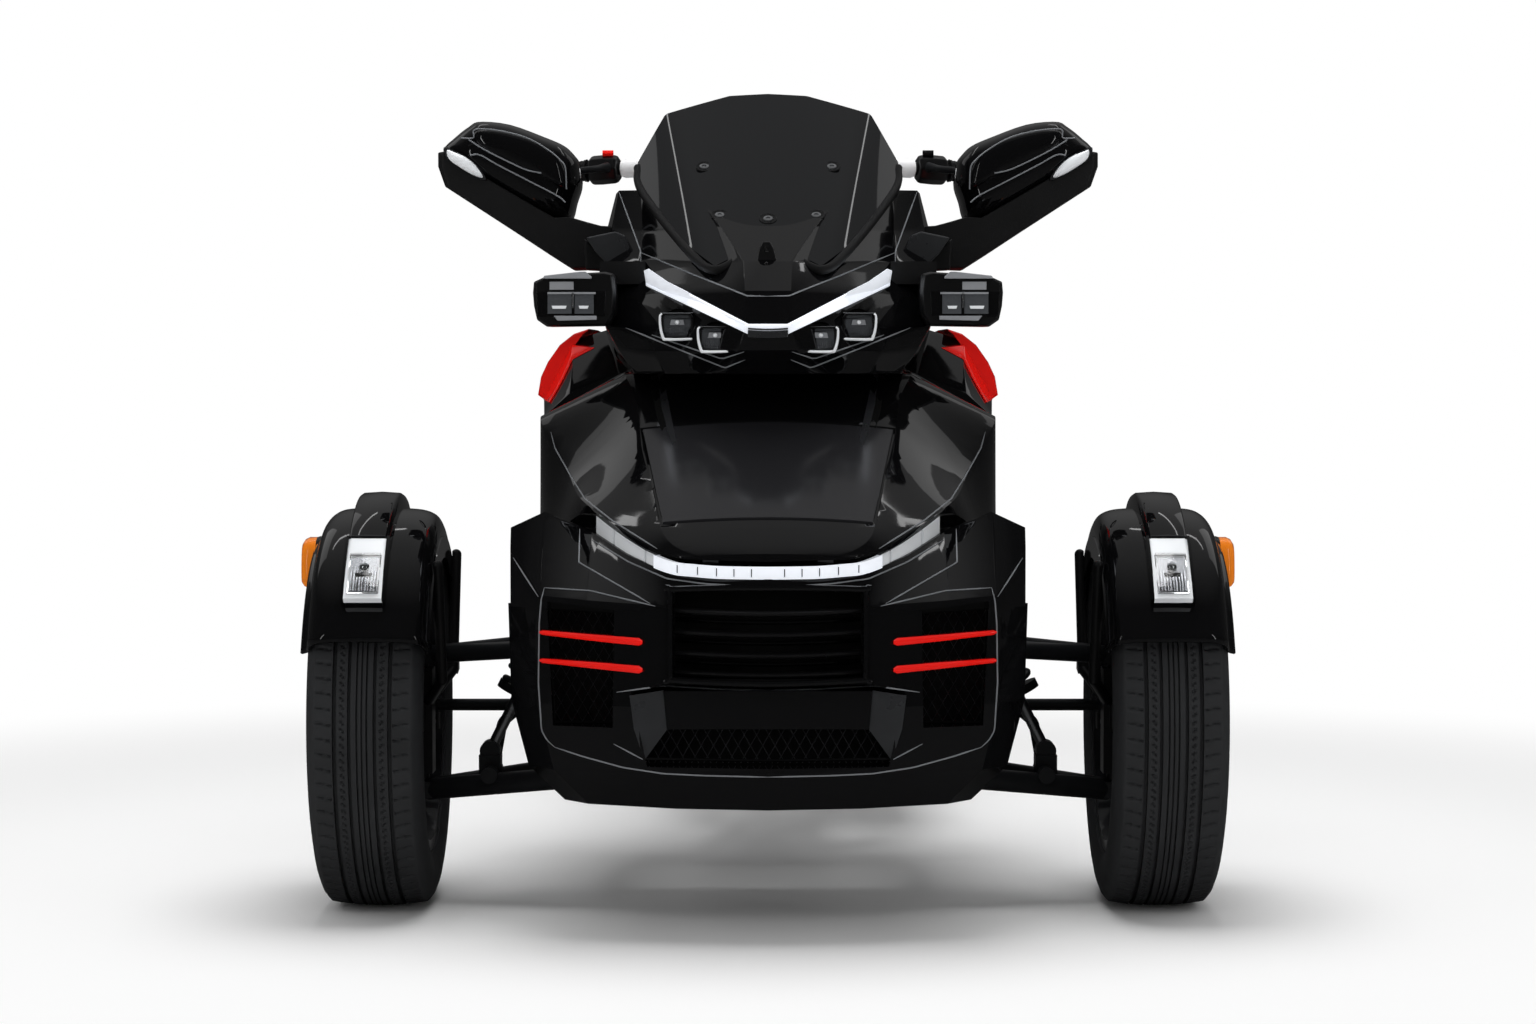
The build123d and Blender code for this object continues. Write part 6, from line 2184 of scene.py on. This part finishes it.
@dataclass
class Saddle:
    """The two-level seat: a crowned, padded cover with sewn seams and a groove between its levels.

    Each curve pairs a distance behind the front axle with a height, or with half a width.
    """

    top: tuple = (
        (852, 746), (884, 735), (940, 724), (1000, 720), (1070, 730), (1122, 752), (1150, 786),
        (1186, 808), (1260, 816), (1380, 822), (1470, 824), (1512, 812), (1527, 790),
    )
    base: tuple = ((852, 640), (1000, 657), (1150, 676), (1300, 696), (1440, 716), (1527, 724))
    half: tuple = (
        (852, 104), (920, 128), (1000, 147), (1080, 147), (1140, 140),
        (1250, 142), (1400, 128), (1500, 100), (1527, 84),
    )
    end_run: float = 16.0
    seam: Triple = (1.6, 0.78, 3.0)
    groove: Triple = (3.0, 1128.0, 6.0)
    crown: float = 4.0
    ends: tuple = ((0.86, 0.14), (0.84, 0.16))
    boxy: Pair = (0.55, 0.5)

    def eased(self, values: Array, reach: int) -> Array:
        """Values averaged over their neighbours on both sides, as far as the reach."""
        return np.convolve(np.pad(values, reach, "edge"), np.ones(2 * reach + 1) / (2 * reach + 1), "valid")

    def build(self) -> None:
        """A rounded section whose width, foot and crown follow three side curves.

        The section is a circle with its cosine and sine raised to a power under one, which makes
        it boxy. Bell curves sink the seams and the groove into its upper half.
        """
        start, stop = self.top[0][0], self.top[-1][0]
        b = np.linspace(start, stop, 120)
        crown = self.eased(np.interp(b, *np.transpose(self.top)), 4)
        foot = np.interp(b, *np.transpose(self.base))
        half = self.eased(np.interp(b, *np.transpose(self.half)), 6)[:, None]
        end = np.clip(np.minimum(b - (start - 1), stop + 1 - b) / self.end_run, 0, 1)[:, None] ** 0.5
        (width, more_width), (height, more_height) = self.ends
        turn = np.linspace(0, 2 * np.pi, 72, endpoint=False)
        c, s = np.cos(turn), np.sin(turn)
        wide = (np.sign(c) * np.abs(c) ** self.boxy[0])[None]
        tall = (np.sign(s) * np.abs(s) ** self.boxy[1])[None]
        mid, rise = (crown + foot) / 2, (crown - foot) / 2
        x = half * (width + more_width * end) * wide
        deep, share, spread = self.seam
        seam = deep * np.exp(-(((np.abs(x) - share * half) / spread) ** 2)) * (tall > 0.4)
        deep, middle, spread = self.groove
        groove = deep * np.exp(-(((b - middle) / spread) ** 2))[:, None] * (tall > 0.3)
        hollow = self.crown * np.cos(np.pi * np.clip(x / (1.5 * half), -0.5, 0.5))
        z = mid[:, None] + rise[:, None] * (height + more_height * end) * tall
        z = z + np.where(tall > 0.4, hollow - self.crown - seam - groove, 0.0)
        points = np.stack([x, np.broadcast_to(b[:, None], x.shape), z], -1)
        seat = loft("saddle", points, VINYL, ROOT, 70)
        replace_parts(seat, "seat")


def main() -> None:
    """Builds the studio and dresses the machine."""
    logging.basicConfig(level=logging.INFO, format="%(name)s %(message)s")
    bpy.context.scene.view_settings.view_transform = "Standard"
    Studio().build()
    CarriedNodes().build()
    for side in Side:
        centre = (side.value * TRACK_HALF, 0.0, TYRE_R)
        RoadTyre("front_tyre_" + side.word, Body["WHEEL_" + side.name], centre).build()
        Mudguard(side).build()
    centre = (0.0, REAR_AXLE, REAR_TYRE_R)
    RoadTyre("rear_tyre", Body.REAR, centre, REAR_TYRE_R, width=225.0, pitches=72, steps=6).build()
    CoilOver("front_damper", "front_dampers", foot=(412.0, 0.0, 228.0), head=(276.0, 0.0, 500.0)).build()
    CoilOver(
        "rear_damper_unit",
        "rear_damper",
        foot=(0.0, 1150.0, 372.0),
        head=(0.0, 892.0, 620.0),
        coil_r=30.0,
        wire=6.0,
        turns=7.0,
        spring=(0.2, 0.9),
        sides=(Side.RIGHT,),
        pin=(1.0, 0.0, 0.0),
    ).build()
    front = (Bumper, LightStrip, HeadLamps, Windscreen, Arrises, Mirrors, SideLamps, AccentLips)
    for part in (*front, EngineTrim, Controls, Saddle):
        part().build()


if __name__ == "__main__":
    main()
